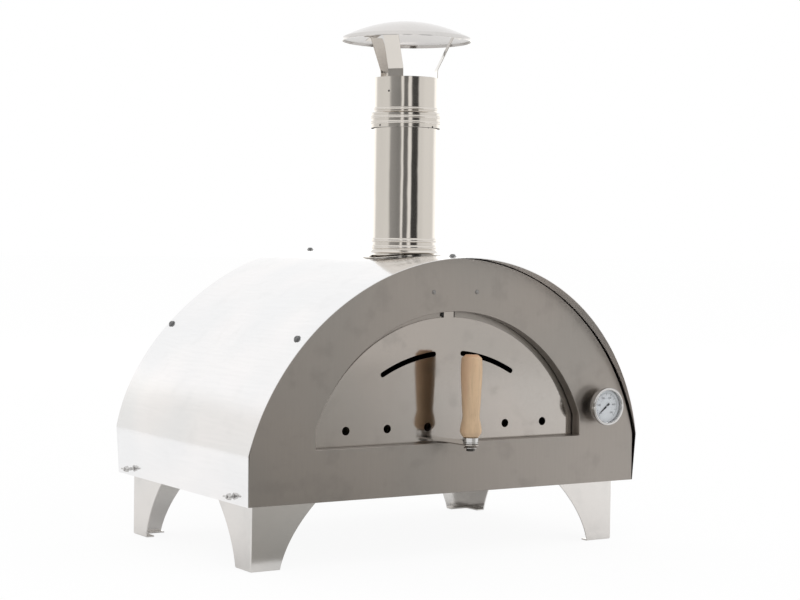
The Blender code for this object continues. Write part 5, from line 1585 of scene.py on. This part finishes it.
    def make_camera(self, scene):
        yaw, pitch, roll = math.radians(32.41), math.radians(-1.85), math.radians(0.746)
        forward = Vector((
            math.sin(yaw) * math.cos(pitch), math.cos(yaw) * math.cos(pitch), math.sin(pitch)))
        level = Vector((math.cos(yaw), -math.sin(yaw), 0))
        above = level.cross(forward)
        right = level * math.cos(roll) + above * math.sin(roll)
        up = above * math.cos(roll) - level * math.sin(roll)
        turn = Matrix((right, up, -forward)).transposed()
        bpy.ops.object.camera_add(location=(-1.5809, -2.5327, 0.4829), rotation=turn.to_euler())
        camera = bpy.context.object
        camera.name = "camera"
        camera.data.lens = 83.502
        camera.data.sensor_width = 36.0
        scene.camera = camera


PIECES = (
    OVEN_OT_vault, OVEN_OT_front_panel, OVEN_OT_rear_panel, OVEN_OT_door, OVEN_OT_handle, OVEN_OT_thermometer,
    OVEN_OT_flue, OVEN_OT_cowl, OVEN_OT_legs, OVEN_OT_fasteners, OVEN_OT_inner_pieces, OVEN_OT_stage)


class OVEN_PT_build(bpy.types.Panel):
    """The oven's pieces in the order in which they are made"""
    bl_idname = "OVEN_PT_build"
    bl_label = "Pizza oven"
    bl_space_type = "VIEW_3D"
    bl_region_type = "UI"
    bl_category = "Pizza oven"

    def draw(self, context):
        layout = self.layout
        for settings in (context.scene.oven_sizes, context.scene.oven_finishes):
            column = layout.column(align=True)
            for name in settings.__annotations__:
                column.prop(settings, name)
        column = layout.column(align=True)
        for piece in PIECES:
            column.operator(piece.bl_idname)


CLASSES = (OvenSizes, OvenFinishes, *PIECES, OVEN_PT_build)


def register():
    for made in CLASSES:
        bpy.utils.register_class(made)
    bpy.types.Scene.oven_sizes = bpy.props.PointerProperty(type=OvenSizes)
    bpy.types.Scene.oven_finishes = bpy.props.PointerProperty(type=OvenFinishes)


def unregister():
    del bpy.types.Scene.oven_finishes
    del bpy.types.Scene.oven_sizes
    for made in reversed(CLASSES):
        bpy.utils.unregister_class(made)


def main():
    register()
    bpy.ops.oven.vault()
    bpy.ops.oven.front_panel()
    bpy.ops.oven.rear_panel()
    bpy.ops.oven.door()
    bpy.ops.oven.handle()
    bpy.ops.oven.thermometer()
    bpy.ops.oven.flue()
    bpy.ops.oven.cowl()
    bpy.ops.oven.legs()
    bpy.ops.oven.fasteners()
    bpy.ops.oven.inner_pieces()
    bpy.ops.oven.stage()
    sizes = [[list(corner) for corner in box] for box in (FRAME_BOX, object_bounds())]


if __name__ == "__main__":
    main()
